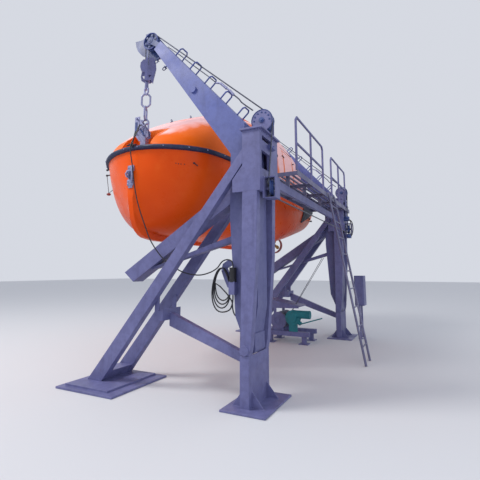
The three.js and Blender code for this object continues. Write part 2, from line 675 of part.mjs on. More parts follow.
// Boat, in its own group: x as before, y from its centreline, z from its keel line
const craft = new THREE.Group();
craft.position.set(0, boat.y, boat.z);
root.add(craft);

// Hull stations from stern to bow: x, half beam at the sheer, keel, garboard, bilge control point (y, z)
const stem = 3050;
const transom = -3420;
const hullStations = [
  [transom, 1110, 655, 657, 1150, 600],
  [-3330, 1195, 600, 602, 1245, 500],
  [-2900, 1240, 560, 562, 1320, 340],
  [-2300, 1250, 420, 422, 1360, 180],
  [-1700, 1250, 0, 270, 1375, 60],
  [-1000, 1250, 0, 120, 1390, -40],
  [0, 1250, 0, 60, 1400, -60],
  [1000, 1248, 0, 60, 1350, -30],
  [1800, 1215, 0, 75, 1180, 30],
  [2400, 1120, 0, 100, 910, 140],
  [2720, 860, 20, 150, 570, 330],
  [2880, 635, 110, 250, 340, 560],
  [2990, 390, 300, 400, 180, 700],
  [stem, 110, 600, 640, 55, 900],
];

// Half section of the hull, from the keel to the sheer, mirrored to a closed ring. A positive inset draws
// the room inside, a negative one a skin around the hull, and a top above the sheer runs straight up to it.
function hullRing([x, half, keel, garboard, cy, cz], inset, top) {
  const ridge = 45;
  const curve = new THREE.QuadraticBezierCurve(
    new THREE.Vector2(Math.min(ridge + 15, half * 0.6), garboard), new THREE.Vector2(cy, cz),
    new THREE.Vector2(half, boat.sheer));
  const low = inset > 0 ? [6, garboard + inset] : [Math.min(ridge, half * 0.5) - inset, keel + inset];
  const side = [low, ...curve.getPoints(8)
    .map((p) => [Math.max(p.x - inset, 7), Math.min(p.y + inset, boat.sheer)])];
  if (top > boat.sheer) side.push([side[side.length - 1][0], top]);
  return { x, points: [...side, ...side.map(([y, z]) => [-y, z]).reverse()] };
}

const hullSkin = (grow, top) => loft(hullStations.map((station) => hullRing(station, -grow, top)));
const hullRoom = (inset, top) => loft(hullStations.slice(1, -2).map((station) => hullRing(station, inset, top)));

function makeHull() {
  const skeg = frontPlate([[-2640, 0], [-800, 0], [-800, 200], [-1700, 330], [-2780, 600], [-2700, 300]], -45, 45);
  const sternTube = bar([-2600, 0, propeller.z], [-2860, 0, propeller.z], 48, 16);
  const rudderBoss = bar([nozzle.x, 0, nozzle.top], [nozzle.x, 0, 680], 42, 16);
  return cut(
    joined(hullSkin(0, boat.sheer), skeg, sternTube, rudderBoss),
    hullRoom(boat.shell, boat.sheer + 100),
    bar([-2590, 0, propeller.z], [-2870, 0, propeller.z], 26, 16),
  );
}
// The sheer rises a little towards the stem: every piece that follows it is bent up alike
const spring = { start: 2400, slope: 0.055 };
function sprung(geometry) {
  const place = geometry.attributes.position;
  for (let i = 0; i < place.count; i += 1) {
    place.setZ(i, place.getZ(i) + Math.max(0, place.getX(i) - spring.start) * spring.slope);
  }
  return geometry;
}
add(craft, 'hull', sprung(makeHull()), finish.orange);

// Rubber fender around the sheer, with a pad down each quarter
const fender = { out: 50, height: 56, low: 1387, padOut: 16 };
function planRing(grow) {
  const side = hullStations.map(([x, half]) => {
    const lean = x > 2200 ? (x - 2200) / 900 : x < -3200 ? -0.8 : 0;
    return [x + grow * lean, half + grow * (1 - Math.abs(lean) * 0.4)];
  });
  const ring = [[transom - grow, 1000], ...side, [stem + grow, 40]];
  return [...ring, ...ring.map(([x, half]) => [x, -half]).reverse()];
}

function fenderBand() {
  return new THREE.ExtrudeGeometry(outline(planRing(fender.out)), { depth: fender.height, bevelEnabled: false })
    .translate(0, 0, fender.low);
}

function makeFender() {
  const quarter = frontPlate([
    [-3330, 1400], [-3330, 1175], [-2200, 780], [-2110, 790], [-2180, 1010], [-2230, 1400],
  ], -1500, 1500);
  const pads = cut(common(hullSkin(fender.padOut, boat.sheer), quarter),
    box([-3400, -2000], [-700, 700], [0, 1500]));
  return cut(joined(fenderBand(), pads), hullSkin(gap + 0.6, boat.sheer + fender.height));
}
add(craft, 'fender', sprung(makeFender()), finish.rubber);

// Canopy stations from stern to bow: x, half width at the foot, side control (y, z), shoulder control (y, z),
// crown. The aft ones stay low enough for the boom that crosses over them.
const canopyFoot = boat.sheer + gap;
const canopyStations = [
  [-3400, 1050, 1045, 1600, 850, 2000, 2060],
  [-3250, 1165, 1150, 1680, 930, 2250, 2300],
  [-2950, 1205, 1190, 1750, 980, 2400, 2520],
  [-2580, 1220, 1200, 1760, 1000, 2440, 2640],
  [-2200, 1228, 1235, 2350, 1120, 2800, 2860],
  [-1000, 1238, 1240, 2620, 1150, 2980, 3020],
  [0, 1238, 1240, 2560, 1130, 2920, 2980],
  [900, 1225, 1220, 2420, 1080, 2760, 2800],
  [1700, 1200, 1185, 2180, 985, 2440, 2460],
  [2300, 1115, 1100, 1900, 840, 2110, 2120],
  [2650, 890, 865, 1700, 610, 1840, 1850],
  [2850, 650, 620, 1600, 440, 1690, 1690],
  [2970, 405, 365, 1500, 215, 1560, 1560],
];

function canopyRing([x, half, ay, az, by, bz, crown], inset, low) {
  const curve = new THREE.CubicBezierCurve(
    new THREE.Vector2(half - inset, low), new THREE.Vector2(ay - inset, az - inset),
    new THREE.Vector2(by - inset, bz - inset), new THREE.Vector2(8, crown - inset));
  const side = curve.getPoints(10).map((p) => [p.x, p.y]);
  return { x, points: [...side, ...side.map(([y, z]) => [-y, z]).reverse()] };
}

const canopySkin = (grow) => loft(canopyStations.map((station) => canopyRing(station, -grow, canopyFoot)));
const canopyRoom = () =>
  loft(canopyStations.slice(1, -1).map((station) => canopyRing(station, boat.shell, canopyFoot - 100)));

// Openings of the canopy: side doors, fore hatch, helm well, and a pocket at each end for the lifting hook
const doorway = { x0: -1500, x1: -800, z0: 1620, z1: 2380 };
const foreHatch = { x0: 1450, x1: 2050, half: 280, low: 2000 };
const helmWell = { x0: -1850, x1: -1150, half: 320 };
const pocket = { half: 300, wall: 30, floor: 1500 };
const forePocket = [[2560, 2000], [2600, 1900], [2640, 1530], [2670, pocket.floor], [3300, pocket.floor],
  [3300, 2400], [2560, 2400]];
const aftPocket = [[-2480, 2700], [-2560, 2500], [-2620, 1630], [-2660, 1600], [-3600, 1600],
  [-3600, 3000], [-2480, 3000]];

function pocketLiner(points, side) {
  const grown = points.map(([x, z], i) => {
    const outer = i < points.length - 3;
    return outer ? [x - side * pocket.wall, z - pocket.wall] : [x, z];
  });
  grown[grown.length - 3][1] -= pocket.wall;
  grown[grown.length - 1][0] -= side * pocket.wall;
  const reach = pocket.half + pocket.wall;
  return common(frontPlate(side > 0 ? grown : grown.reverse(), -reach, reach), canopySkin(-1));
}

function makeCanopy() {
  const shell = cut(canopySkin(0), canopyRoom());
  const reach = pocket.half;
  return cut(
    joined(shell, pocketLiner(forePocket, 1), pocketLiner(aftPocket, -1)),
    frontPlate(forePocket, -reach, reach),
    frontPlate([...aftPocket].reverse(), -reach, reach),
    box([doorway.x0, doorway.x1], [-1500, 1500], [doorway.z0, doorway.z1]),
    box([foreHatch.x0, foreHatch.x1], [-foreHatch.half, foreHatch.half], [foreHatch.low, 3000]),
    box([helmWell.x0, helmWell.x1], [-helmWell.half, helmWell.half], [2700, 3300]),
  );
}
// The canopy is moulded in three sections, which meet at these stations
const roof = makeCanopy();
const sections = { canopy_stern: [-3500, -2440], canopy_middle: [-2440, 2520], canopy_bow: [2520, 3500] };
for (const [name, [x0, x1]] of Object.entries(sections)) {
  const section = common(roof, box([x0 + gap / 2, x1 - gap / 2], [-1500, 1500], [boat.sheer, 3300]));
  add(craft, name, sprung(section), finish.roof);
}

// Doors and fore hatch lid, cut from the canopy's own skin with a margin all round
const lidMargin = 5;
function skinPanel(x, y, z) {
  return common(cut(canopySkin(0), canopyRoom()), box(x, y, z));
}
const doorSpan = [
  [doorway.x0 + lidMargin, doorway.x1 - lidMargin], [doorway.z0 + lidMargin, doorway.z1 - lidMargin],
];
add(craft, 'door_port', skinPanel(doorSpan[0], [700, 1500], doorSpan[1]), finish.roof);
add(craft, 'door_starboard', skinPanel(doorSpan[0], [-1500, -700], doorSpan[1]), finish.roof);
add(craft, 'fore_hatch_lid', sprung(skinPanel([foreHatch.x0 + lidMargin, foreHatch.x1 - lidMargin],
  [lidMargin - foreHatch.half, foreHatch.half - lidMargin], [foreHatch.low, 3000])), finish.roof);

// Helm cupola: sloping walls with window openings, a ring of glass inside them and a lid on top
const cupola = { top: 3215, wall: 30, half: 370, sill: 3060, lintel: 3160, glass: 8 };
const cupolaOutline = (inset, low, high) => {
  const lean = 60 / (cupola.top - 2800);
  const at = (z) => (z - 2800) * lean;
  return [
    [-1920 + at(low) + inset, low], [-1080 - at(low) - inset, low],
    [-1080 - at(high) - inset, high], [-1920 + at(high) + inset, high],
  ];
};
const cupolaBlock = (inset, low, high) =>
  frontPlate(cupolaOutline(inset, low, high), inset - cupola.half, cupola.half - inset);
const topHatch = { x0: -1720, x1: -1290, half: 230 };

function makeCupola() {
  const { wall, sill, lintel, half } = cupola;
  const midX = -1500;
  return cut(
    cupolaBlock(0, 2800, cupola.top), cupolaBlock(wall, 2700, cupola.top - wall), canopySkin(gap),
    box([-2200, -900], [-half + 90, half - 90], [sill, lintel]),
    ...[[-1820, midX - 30], [midX + 30, -1180]].map((x) => box(x, [-half - 50, half + 50], [sill, lintel])),
    box([topHatch.x0, topHatch.x1], [-topHatch.half, topHatch.half], [cupola.top - 60, cupola.top + 10]),
  );
}
add(craft, 'helm_cupola', makeCupola(), finish.roof);

function makeGlassBand() {
  const { wall, sill, lintel, glass } = cupola;
  const lap = 15;
  return cut(cupolaBlock(wall + gap, sill - lap, lintel + lap),
    cupolaBlock(wall + gap + glass, sill - lap - 10, lintel + lap + 10));
}
add(craft, 'cupola_glass', makeGlassBand(), finish.glass);
add(craft, 'helm_hatch_lid', box([topHatch.x0 - 15, topHatch.x1 + 15], [-topHatch.half - 15, topHatch.half + 15],
  [cupola.top + gap, cupola.top + 32]), finish.roof);

// Sole with a bench along each side, fitted to the hull's inside
function makeSole() {
  const room = hullRoom(boat.shell + 1, boat.sheer - 1);
  const bench = { in: 640, top: 860, board: 40 };
  const floor = box([-3000, 2300], [-1400, 1400], [470, 500]);
  const boards = [-1, 1].flatMap((s) => {
    const run = (y0, y1, z0, z1) => box([-2400, 2300], [s * y0, s * y1].sort((a, b) => a - b), [z0, z1]);
    return [run(bench.in, 1400, bench.top, bench.top + bench.board),
      run(bench.in, bench.in + bench.board, 490, bench.top + 5)];
  });
  return common(joined(floor, ...boards), room);
}
add(craft, 'sole_and_benches', makeSole(), finish.inside);
add(craft, 'engine', box([-2350, -1650], [-240, 240], [500 + gap, 1000]), finish.inside);

// Steering nozzle around the propeller
function makeNozzle() {
  const { inner, outer, half } = nozzle;
  const ring = wheel([[inner, -half], [inner, half], [outer - 12, half], [outer, 0], [outer - 8, -half]], 'x', 32)
    .translate(nozzle.x, 0, propeller.z);
  const stock = bar([nozzle.x, 0, propeller.z + inner + 10], [nozzle.x, 0, nozzle.top - gap], 26, 16);
  return joined(ring, stock);
}
add(craft, 'steering_nozzle', makeNozzle(), finish.red);

function makePropeller() {
  const { x, z, r } = propeller;
  const blade = new THREE.ExtrudeGeometry(outline([
    [-30, 30], [-62, 110], [-58, 160], [-20, r - 4], [20, r - 4], [58, 160], [62, 110], [30, 30],
  ]), { depth: 12, bevelEnabled: false }).translate(0, 0, -6);
  const pitch = 0.55;
  const blades = [0, 1, 2].map((i) => blade.clone().rotateY(Math.PI / 2 + pitch).rotateX(Math.PI / 2)
    .rotateX((i * 2 * Math.PI) / 3).translate(x, 0, z));
  const hub = bar([x - 75, 0, z], [x + 60, 0, z], 44, 16);
  const shaft = bar([x + 50, 0, z], [-2640, 0, z], 20, 12);
  return joined(hub, shaft, ...blades);
}
add(craft, 'propeller', makePropeller(), finish.bronze);

// Lifting hooks: a foot in the pocket, two plates and the pin through the chain's lowest link
function makeHook(side, floor) {
  const plates = { near: 28, far: 44, half: 55 };
  const pinZ = chainLow + 2 * link.r + 17 - boat.z;
  const top = pinZ + 60;
  const x = side * armPlane;
  const y = fallY - boat.y;
  const plate = (a, b) => box([x + a, x + b], [y - plates.half, y + plates.half], [floor + 20, top]);
  const base = box([x - 95, x + 95], [y - 90, y + 90], [floor + gap, floor + 40]);
  const block = box([x - plates.far, x + plates.far], [y - plates.half, y + plates.half], [floor + 30, pinZ - 90]);
  const pinBar = bar([x - plates.far - 12, y, pinZ], [x + plates.far + 12, y, pinZ], 16, 12);
  const parts = [plate(plates.near, plates.far), plate(-plates.far, -plates.near), base, block, pinBar];
  if (side > 0) parts.push(bar([x + plates.far - 4, y, top - 40], [x + plates.far + 26, y, top - 40], 14, 12));
  return joined(...parts);
}
const forePocketRise = (armPlane + 95 - spring.start) * spring.slope;
add(craft, 'hook_fore', makeHook(1, pocket.floor + forePocketRise), finish.steel);
add(craft, 'hook_aft', makeHook(-1, 1600), finish.steel);

// Stem bracket with the painter's lug
function makeStemBracket() {
  const plate = box([stem + gap, stem + 16], [-42, 42], [800, 1120]);
  const lug = cut(
    frontPlate([[stem + 12, 930], [stem + 110, 960], [stem + 135, 1010], [stem + 100, 1050],
      [stem + 12, 1080]], -11, 11),
    bar([stem + 95, -20, 1005], [stem + 95, 20, 1005], 16, 16),
  );
  return joined(plate, lug);
}
add(craft, 'stem_bracket', makeStemBracket(), finish.steel);

// Shore cable: out of the fore hook, over the bow, in one sag to the hook plate on the fore arm
const cableR = 9;
const shoreCable = [
  [2840.6, -2099, 4138], [2872, -2096, 4132], [2935, -2080, 4070], [3000, -2072, 3930], [3085, -2066, 3790],
  [3135, -2060, 3680], [3140, -2046, 3560], [3125, -2012, 3350], [3110, -1980, 3100], [3088, -1945, 2880],
  [3065, -1895, 2680], [3025, -1800, 2400], [2990, -1690, 2140], [2942, -1480, 1875], [2912, -1255, 1729],
  [2892, -1110, 1671], [2872, -890, 1643], [2862, -720, 1680], [2868, -600, 1740], [2900, -500, 1830],
  [2950, -385, 1855], [2974, -310, 1830], [2979, -290, 1785], [2979, -290, 1748.6],
];
add(root, 'shore_cable', tube(shoreCable, cableR, 8, 72), finish.cable);

const socket = { x: 2979, y: -290 };
add(root, 'cable_socket', joined(
  bar([socket.x, socket.y, 1555], [socket.x, socket.y, 1748], 48, 16),
  box([socket.x - 48, socket.x + 40], [socket.y - 44, socket.y + 44], [1390, 1560]),
), finish.rubber);

// Hook plate on the arm, and the spare turns that hang from its peg
function makeCableHook() {
  const edge = (z) => [columnOut(z) - gap - 0.5, z];
  const plate = cut(sidePlate([
    edge(1473), edge(1560), [-400, 1640], [-440, 1740], edge(1800), edge(1838), [-440, 1850], [-520, 1800],
    [-540, 1700], [-500, 1600], [-440, 1473],
  ], 2835, 2849));
  const peg = bar([2840, -480, 1719], [2930, -480, 1719], 14, 12);
  return joined(plate, peg);
}
add(root, 'cable_hook', makeCableHook(), finish.davit);

// The hank of spare cable, as its outer shape
function makeHank() {
  const outer = outline([
    [-500, 1798], [-560, 1740], [-660, 1560], [-700, 1390], [-660, 1230], [-560, 1150], [-440, 1150],
    [-370, 1230], [-345, 1390], [-370, 1560], [-410, 1740], [-460, 1798],
  ]);
  outer.holes.push(new THREE.Path([
    [-500, 1738], [-530, 1690], [-600, 1550], [-640, 1390], [-610, 1270], [-540, 1210], [-450, 1210],
    [-410, 1270], [-395, 1390], [-415, 1550], [-440, 1690], [-460, 1738],
  ].map(([a, b]) => new THREE.Vector2(a, b))));
  return outer;
}
const hank = new THREE.ExtrudeGeometry(makeHank(), { depth: 60, bevelEnabled: false })
  .applyMatrix4(new THREE.Matrix4().makeBasis(
    new THREE.Vector3(0, 1, 0), new THREE.Vector3(0, 0, 1), new THREE.Vector3(1, 0, 0))).translate(2856, 0, 0);
add(root, 'cable_hank', hank, finish.cable);

export default root;
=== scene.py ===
# Looks of an enclosed lifeboat that hangs in its pivoting gravity davit.
# Metres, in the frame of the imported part: +X to the bow, +Y inboard over the deck, +Z up from the deck.
import json
from math import atan2, ceil, cos, degrees, dist, pi, radians, sin, sqrt

import bmesh
import bpy
from mathutils import Matrix, Vector

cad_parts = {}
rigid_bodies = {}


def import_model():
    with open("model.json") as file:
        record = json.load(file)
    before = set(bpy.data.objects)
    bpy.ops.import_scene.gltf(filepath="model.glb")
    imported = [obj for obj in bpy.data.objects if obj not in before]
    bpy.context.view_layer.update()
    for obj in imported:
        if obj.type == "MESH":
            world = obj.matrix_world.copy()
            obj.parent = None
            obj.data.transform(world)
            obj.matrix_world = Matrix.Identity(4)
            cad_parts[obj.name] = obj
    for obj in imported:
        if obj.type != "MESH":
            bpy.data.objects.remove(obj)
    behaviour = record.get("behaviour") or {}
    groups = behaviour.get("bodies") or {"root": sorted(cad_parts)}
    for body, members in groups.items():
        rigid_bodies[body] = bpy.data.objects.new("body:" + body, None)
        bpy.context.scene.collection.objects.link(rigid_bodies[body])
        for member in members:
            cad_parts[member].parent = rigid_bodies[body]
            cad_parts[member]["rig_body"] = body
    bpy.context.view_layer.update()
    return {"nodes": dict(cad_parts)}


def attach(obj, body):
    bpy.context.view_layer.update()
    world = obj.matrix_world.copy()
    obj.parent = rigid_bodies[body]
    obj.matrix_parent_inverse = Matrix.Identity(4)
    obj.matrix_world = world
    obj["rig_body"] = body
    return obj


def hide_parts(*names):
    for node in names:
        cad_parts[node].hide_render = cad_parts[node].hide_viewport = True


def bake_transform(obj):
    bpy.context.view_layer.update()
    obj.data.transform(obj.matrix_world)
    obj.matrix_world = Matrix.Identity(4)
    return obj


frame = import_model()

scene = bpy.context.scene
to_bow, inboard, up = Vector((1, 0, 0)), Vector((0, 1, 0)), Vector((0, 0, 1))

# Driving places of the davit, repeated from the part
arm_plane = 2.77
arm_planes = {"fore": arm_plane, "aft": -arm_plane}
frame_half = 0.332
head_sheave = {"y": -0.805, "z": 5.68, "r": 0.155}
top_sheave = {"y": 1.302, "z": 3.816, "r": 0.15}
side_sheave = {"x": 0.1, "y": 1.46, "z": 2.806, "r": 0.124}
groove = 0.012
fall_y = -0.892
boom_underside_slope = 1.387
winch = {"x": -1.65, "y": -0.068, "z": 0.515, "r": 0.13, "half": 0.27}

# Driving places of the boat, from its centreline and keel line
keel = Vector((0, -0.889, 2.21))
sheer = 1.42
shell = 0.045
spring_start, spring_slope = 2.4, 0.055  # the boat's lines spring upwards near the bow

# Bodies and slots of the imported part
FRAME, SWING = "davit_frame", "arms_and_boat"
DAVIT, GRATING, HULL, CANOPY = "davit_paint", "grating_paint", "hull_orange", "canopy_orange"
RUBBER, STEEL, TEAL, CABLE = "fender_rubber", "bare_steel", "winch_teal", "cable_black"
GLASS, RED, BRONZE, INSIDE = "window_glass", "nozzle_red", "bronze", "inner_plastic"

# The camera stands on the deck inboard of the bow, at eye height, and looks up at the davit
eye_place = (7.472, 3.257, 1.7)
eye_bearing, eye_climb = radians(26.422), radians(8.7114)
film_width, focal_length, rise_of_lens = 36, 27.9, -0.054


def new_object(name, data):
    obj = bpy.data.objects.new(name, data)
    scene.collection.objects.link(obj)
    return obj


def place_camera():
    level = cos(eye_climb)
    look = Vector((-cos(eye_bearing) * level, -sin(eye_bearing) * level, sin(eye_climb)))
    data = bpy.data.cameras.new("eye")
    data.sensor_width = film_width
    data.lens = focal_length
    data.shift_y = rise_of_lens
    camera = new_object("eye", data)
    camera.location = eye_place
    camera.rotation_mode = "QUATERNION"
    camera.rotation_quaternion = look.to_track_quat("-Z", "Y")
    scene.camera = camera


place_camera()


# Small helpers for placing, shading and handing over a piece
def bend_up(x, z):
    return z + max(0.0, x - spring_start) * spring_slope


def in_boat(x, y, z):
    return Vector((x, y + keel.y, z + keel.z))


def hand_over(obj, replaces=(), body=SWING):
    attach(obj, body)
    if replaces:
        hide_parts(*replaces)
    return obj


def shade(mesh, angle):
    mesh.polygons.foreach_set("use_smooth", [True] * len(mesh.polygons))
    mesh.set_sharp_from_angle(angle=radians(angle))


def bm_object(bm, name):
    mesh = bpy.data.meshes.new(name)
    bm.to_mesh(mesh)
    bm.free()
    return new_object(name, mesh)


def piece(bm, name, materials, replaces=(), body=SWING, angle=32):
    """Everything rides with the arms and the boat, unless another body is named."""
    obj = bm_object(bm, name)
    for material in materials if isinstance(materials, list) else [materials]:
        obj.data.materials.append(material)
    shade(obj.data, angle)
    return hand_over(obj, replaces, body)


def scratch(bm, name):
    bmesh.ops.recalc_face_normals(bm, faces=bm.faces)
    return bm_object(bm, name)


def baked(obj):
    """The object's mesh with its modifiers or its bevel carried out."""
    bpy.context.view_layer.update()
    return bpy.data.meshes.new_from_object(obj.evaluated_get(bpy.context.evaluated_depsgraph_get()))


CUT, JOIN, KEEP = "DIFFERENCE", "UNION", "INTERSECT"


def carve(body, steps):
    """Works on one scratch solid with others. Each step is an operation and a solid."""
    for operation, tool in steps:
        modifier = body.modifiers.new("carve", "BOOLEAN")
        modifier.operation = operation
        modifier.solver = "EXACT"
        modifier.object = tool
    bm = bmesh.new()
    bm.from_mesh(baked(body))
    for used in [body, *[tool for operation, tool in steps]]:
        scene.collection.objects.unlink(used)
    return bm


def soften(bm, width, segments=2, sharp_from=radians(28)):
    sharp = [e for e in bm.edges if e.is_manifold and e.calc_face_angle(0) > sharp_from]
    bmesh.ops.bevel(bm, geom=sharp, offset=width, offset_type="OFFSET", segments=segments, profile=0.5,
                    affect="EDGES", material=-1, clamp_overlap=True)


def add_box(bm, low, high):
    low, high = Vector(low), Vector(high)
    matrix = Matrix.Translation((low + high) / 2) @ Matrix.Diagonal((*(high - low), 1))
    bmesh.ops.create_cube(bm, size=1, matrix=matrix)


def add_rod(bm, start, end, radius, end_radius=None, sides=16):
    start, end = Vector(start), Vector(end)
    axis = end - start
    matrix = Matrix.Translation((start + end) / 2) @ axis.to_track_quat("Z", "Y").to_matrix().to_4x4()
    bmesh.ops.create_cone(bm, cap_ends=True, segments=sides, radius1=radius,
                          radius2=radius if end_radius is None else end_radius,
                          depth=axis.length, matrix=matrix)


def add_bars(bm, line, radius, sides):
    for a, b in zip(line, line[1:]):
        add_rod(bm, a, b, radius, sides=sides)


def add_ball(bm, middle, radius, stretch=(1, 1, 1), sides=14):
    matrix = Matrix.Translation(middle) @ Matrix.Diagonal((*stretch, 1))
    bmesh.ops.create_uvsphere(bm, u_segments=sides, v_segments=sides // 2, radius=radius, matrix=matrix)


def add_bolt(bm, place, axis, radius=0.012, height=0.01):
    place, axis = Vector(place), Vector(axis).normalized()
    add_rod(bm, place - axis * 0.002, place + axis * 0.003, radius * 1.7, sides=12)
    add_rod(bm, place, place + axis * height, radius, sides=6)


def add_prism(bm, points, axis, low, high):
    """Extrudes an outline of pairs along X or Y. The pairs are (y, z) along X and (x, z) along Y."""
    at = (lambda a, b: (low, a, b)) if axis == "X" else (lambda a, b: (a, low, b))
    face = bm.faces.new([bm.verts.new(at(a, b)) for a, b in points])
    made = bmesh.ops.extrude_face_region(bm, geom=[face])["geom"]
    moved = [v for v in made if isinstance(v, bmesh.types.BMVert)]
    shift = (high - low, 0, 0) if axis == "X" else (0, high - low, 0)
    bmesh.ops.translate(bm, vec=shift, verts=moved)
    bmesh.ops.recalc_face_normals(bm, faces=bm.faces)


def skin_over(rings, endless=False):
    """A surface drawn on from closed ring to ring. It is capped, or run round into its own start."""
    bm = bmesh.new()
    order = bm.verts.layers.int.new("order")
    first = [bm.verts.new(p) for p in rings[0]]
    for i, v in enumerate(first):
        v[order] = i
    edges = [bm.edges.new((a, b)) for a, b in zip(first, first[1:] + first[:1])]
    start = list(edges)
    for ring in rings[1:]:
        made = bmesh.ops.extrude_edge_only(bm, edges=edges)["geom"]
        fresh = {v for v in made if isinstance(v, bmesh.types.BMVert)}
        for v in fresh:
            v.co = ring[v[order]]
        edges = [e for e in made if isinstance(e, bmesh.types.BMEdge) and all(v in fresh for v in e.verts)]
    if endless:
        bmesh.ops.bridge_loops(bm, edges=start + edges)
    else:
        bmesh.ops.holes_fill(bm, edges=start + edges, sides=0)
    bmesh.ops.recalc_face_normals(bm, faces=bm.faces)
    return bm


def eased_rows(rows, step=0.14):
    """More stations between the given ones, on smooth curves that never overshoot a station."""
    def slope(i, k):
        near = rows[max(0, i - 1):i + 2]
        before, *others = [(b[k] - a[k]) / (b[0] - a[0]) for a, b in zip(near, near[1:])]
        if not others:
            return before
        after = others[0]
        return 0.0 if before * after <= 0 else 2 * before * after / (before + after)
    made = []
    for i, (a, b) in enumerate(zip(rows, rows[1:])):
        span = b[0] - a[0]
        parts = max(2, ceil(span / step))
        for p in range(parts):
            t = p / parts
            row = [a[0] + span * t]
            for k in range(1, len(a)):
                m0, m1 = slope(i, k) * span, slope(i + 1, k) * span
                row.append((2 * t**3 - 3 * t**2 + 1) * a[k] + (t**3 - 2 * t**2 + t) * m0
                           + (3 * t**2 - 2 * t**3) * b[k] + (t**3 - t**2) * m1)
            made.append(row)
    return [*made, list(rows[-1])]


def run_through(points, per=6):
    """A smooth line through given points, as even steps of a centripetal curve."""
    points = [Vector(p) for p in points]
    padded = [points[0] * 2 - points[1], *points, points[-1] * 2 - points[-2]]
    line = []
    for a, b, c, d in zip(padded, padded[1:], padded[2:], padded[3:]):
        knots = [0.0]
        for p, q in ((a, b), (b, c), (c, d)):
            knots.append(knots[-1] + sqrt((q - p).length))
        t0, t1, t2, t3 = knots
        for i in range(per):
            t = t1 + (t2 - t1) * i / per
            ab = a.lerp(b, (t - t0) / (t1 - t0))
            bc = b.lerp(c, (t - t1) / (t2 - t1))
            cd = c.lerp(d, (t - t2) / (t3 - t2))
            early, late = ab.lerp(bc, (t - t0) / (t2 - t0)), bc.lerp(cd, (t - t1) / (t3 - t1))
            line.append(early.lerp(late, (t - t1) / (t2 - t1)))
    return [*line, points[-1]]


def straight(a, b, parts=1):
    a, b = Vector(a), Vector(b)
    return [a.lerp(b, i / parts) for i in range(parts + 1)]


def arc(middle, radius, start, end, across, upward, parts=12):
    """Points round a middle, from the angle start to end, in the plane of two unit directions."""
    angles = [radians(start + (end - start) * i / parts) for i in range(parts + 1)]
    return [middle + across * (radius * cos(a)) + upward * (radius * sin(a)) for a in angles]


def bar_curve(name, lines, radius, resolution=3):
    data = bpy.data.curves.new(name, "CURVE")
    data.dimensions = "3D"
    data.bevel_depth = radius
    data.bevel_resolution = resolution
    data.use_fill_caps = True
    for line in lines:
        spline = data.splines.new("POLY")
        spline.points.add(len(line) - 1)
        for point, place in zip(spline.points, line):
            point.co = (*place, 1)
    return data


def bar_mesh(name, lines, radius, resolution):
    source = new_object(name + ".line", bar_curve(name, lines, radius, resolution))
    mesh = baked(source)
    scene.collection.objects.unlink(source)
    return mesh


def rods(name, lines, radius, material, body=SWING, resolution=3):
    """Round bars or wires along lines, as one mesh."""
    bm = bmesh.new()
    bm.from_mesh(bar_mesh(name, lines, radius, resolution))
    bmesh.ops.remove_doubles(bm, verts=bm.verts, dist=1e-5)
    piece(bm, name, material, body=body, angle=50)


def free_cord(name, line, node):
    data = bar_curve(name, [line], cable_radius)
    data.materials.append(cable_skin)
    return hand_over(new_object(name, data), [node])


# Materials: every pattern is read from the piece's own coordinates
# The pale pink is partly faded gelcoat and partly a painted highlight of sky reflection on sky-facing faces.
rust_brown, weathered_zinc, bleached_and_glare_pink = (0.16, 0.055, 0.022), (0.2, 0.13, 0.1), (1.0, 0.58, 0.58)


def feed(tree, node, inputs):
    """Links what comes from another node, and sets plain values on the sockets."""
    for key, value in dict(inputs).items():
        if isinstance(value, bpy.types.NodeSocket):
            tree.links.new(value, node.inputs[key])
        else:
            node.inputs[key].default_value = value


def add_node(tree, kind, inputs=(), **settings):
    node = tree.nodes.new("ShaderNode" + kind)
    for key, value in settings.items():
        setattr(node, key, value)
    feed(tree, node, inputs)
    return node


def new_finish(name):
    material = bpy.data.materials.new(name)
    material.use_nodes = True
    tree = material.node_tree
    return material, tree, tree.nodes["Principled BSDF"], add_node(tree, "TexCoord").outputs["Object"]


def noise(tree, place, scale, detail=4.0, rough=0.55, stretch=None):
    if stretch:
        place = add_node(tree, "Mapping", {"Vector": place, "Scale": stretch}).outputs[0]
    return add_node(tree, "TexNoise", {"Vector": place, "Scale": scale, "Detail": detail,
                                                 "Roughness": rough}).outputs["Fac"]


def between(tree, value, low, high, to_low=0.0, to_high=1.0):
    return add_node(tree, "MapRange", {"Value": value, "From Min": low, "From Max": high,
                                                 "To Min": to_low, "To Max": to_high}).outputs[0]


def mixed(tree, factor, first, second):
    first, second = ((*c, 1.0) if isinstance(c, tuple) else c for c in (first, second))
    return add_node(tree, "Mix", {0: factor, 6: first, 7: second}, data_type="RGBA").outputs[2]


def relief(tree, height, strength=0.1, distance=0.002):
    return add_node(tree, "Bump", {"Height": height, "Strength": strength, "Distance": distance}).outputs[0]


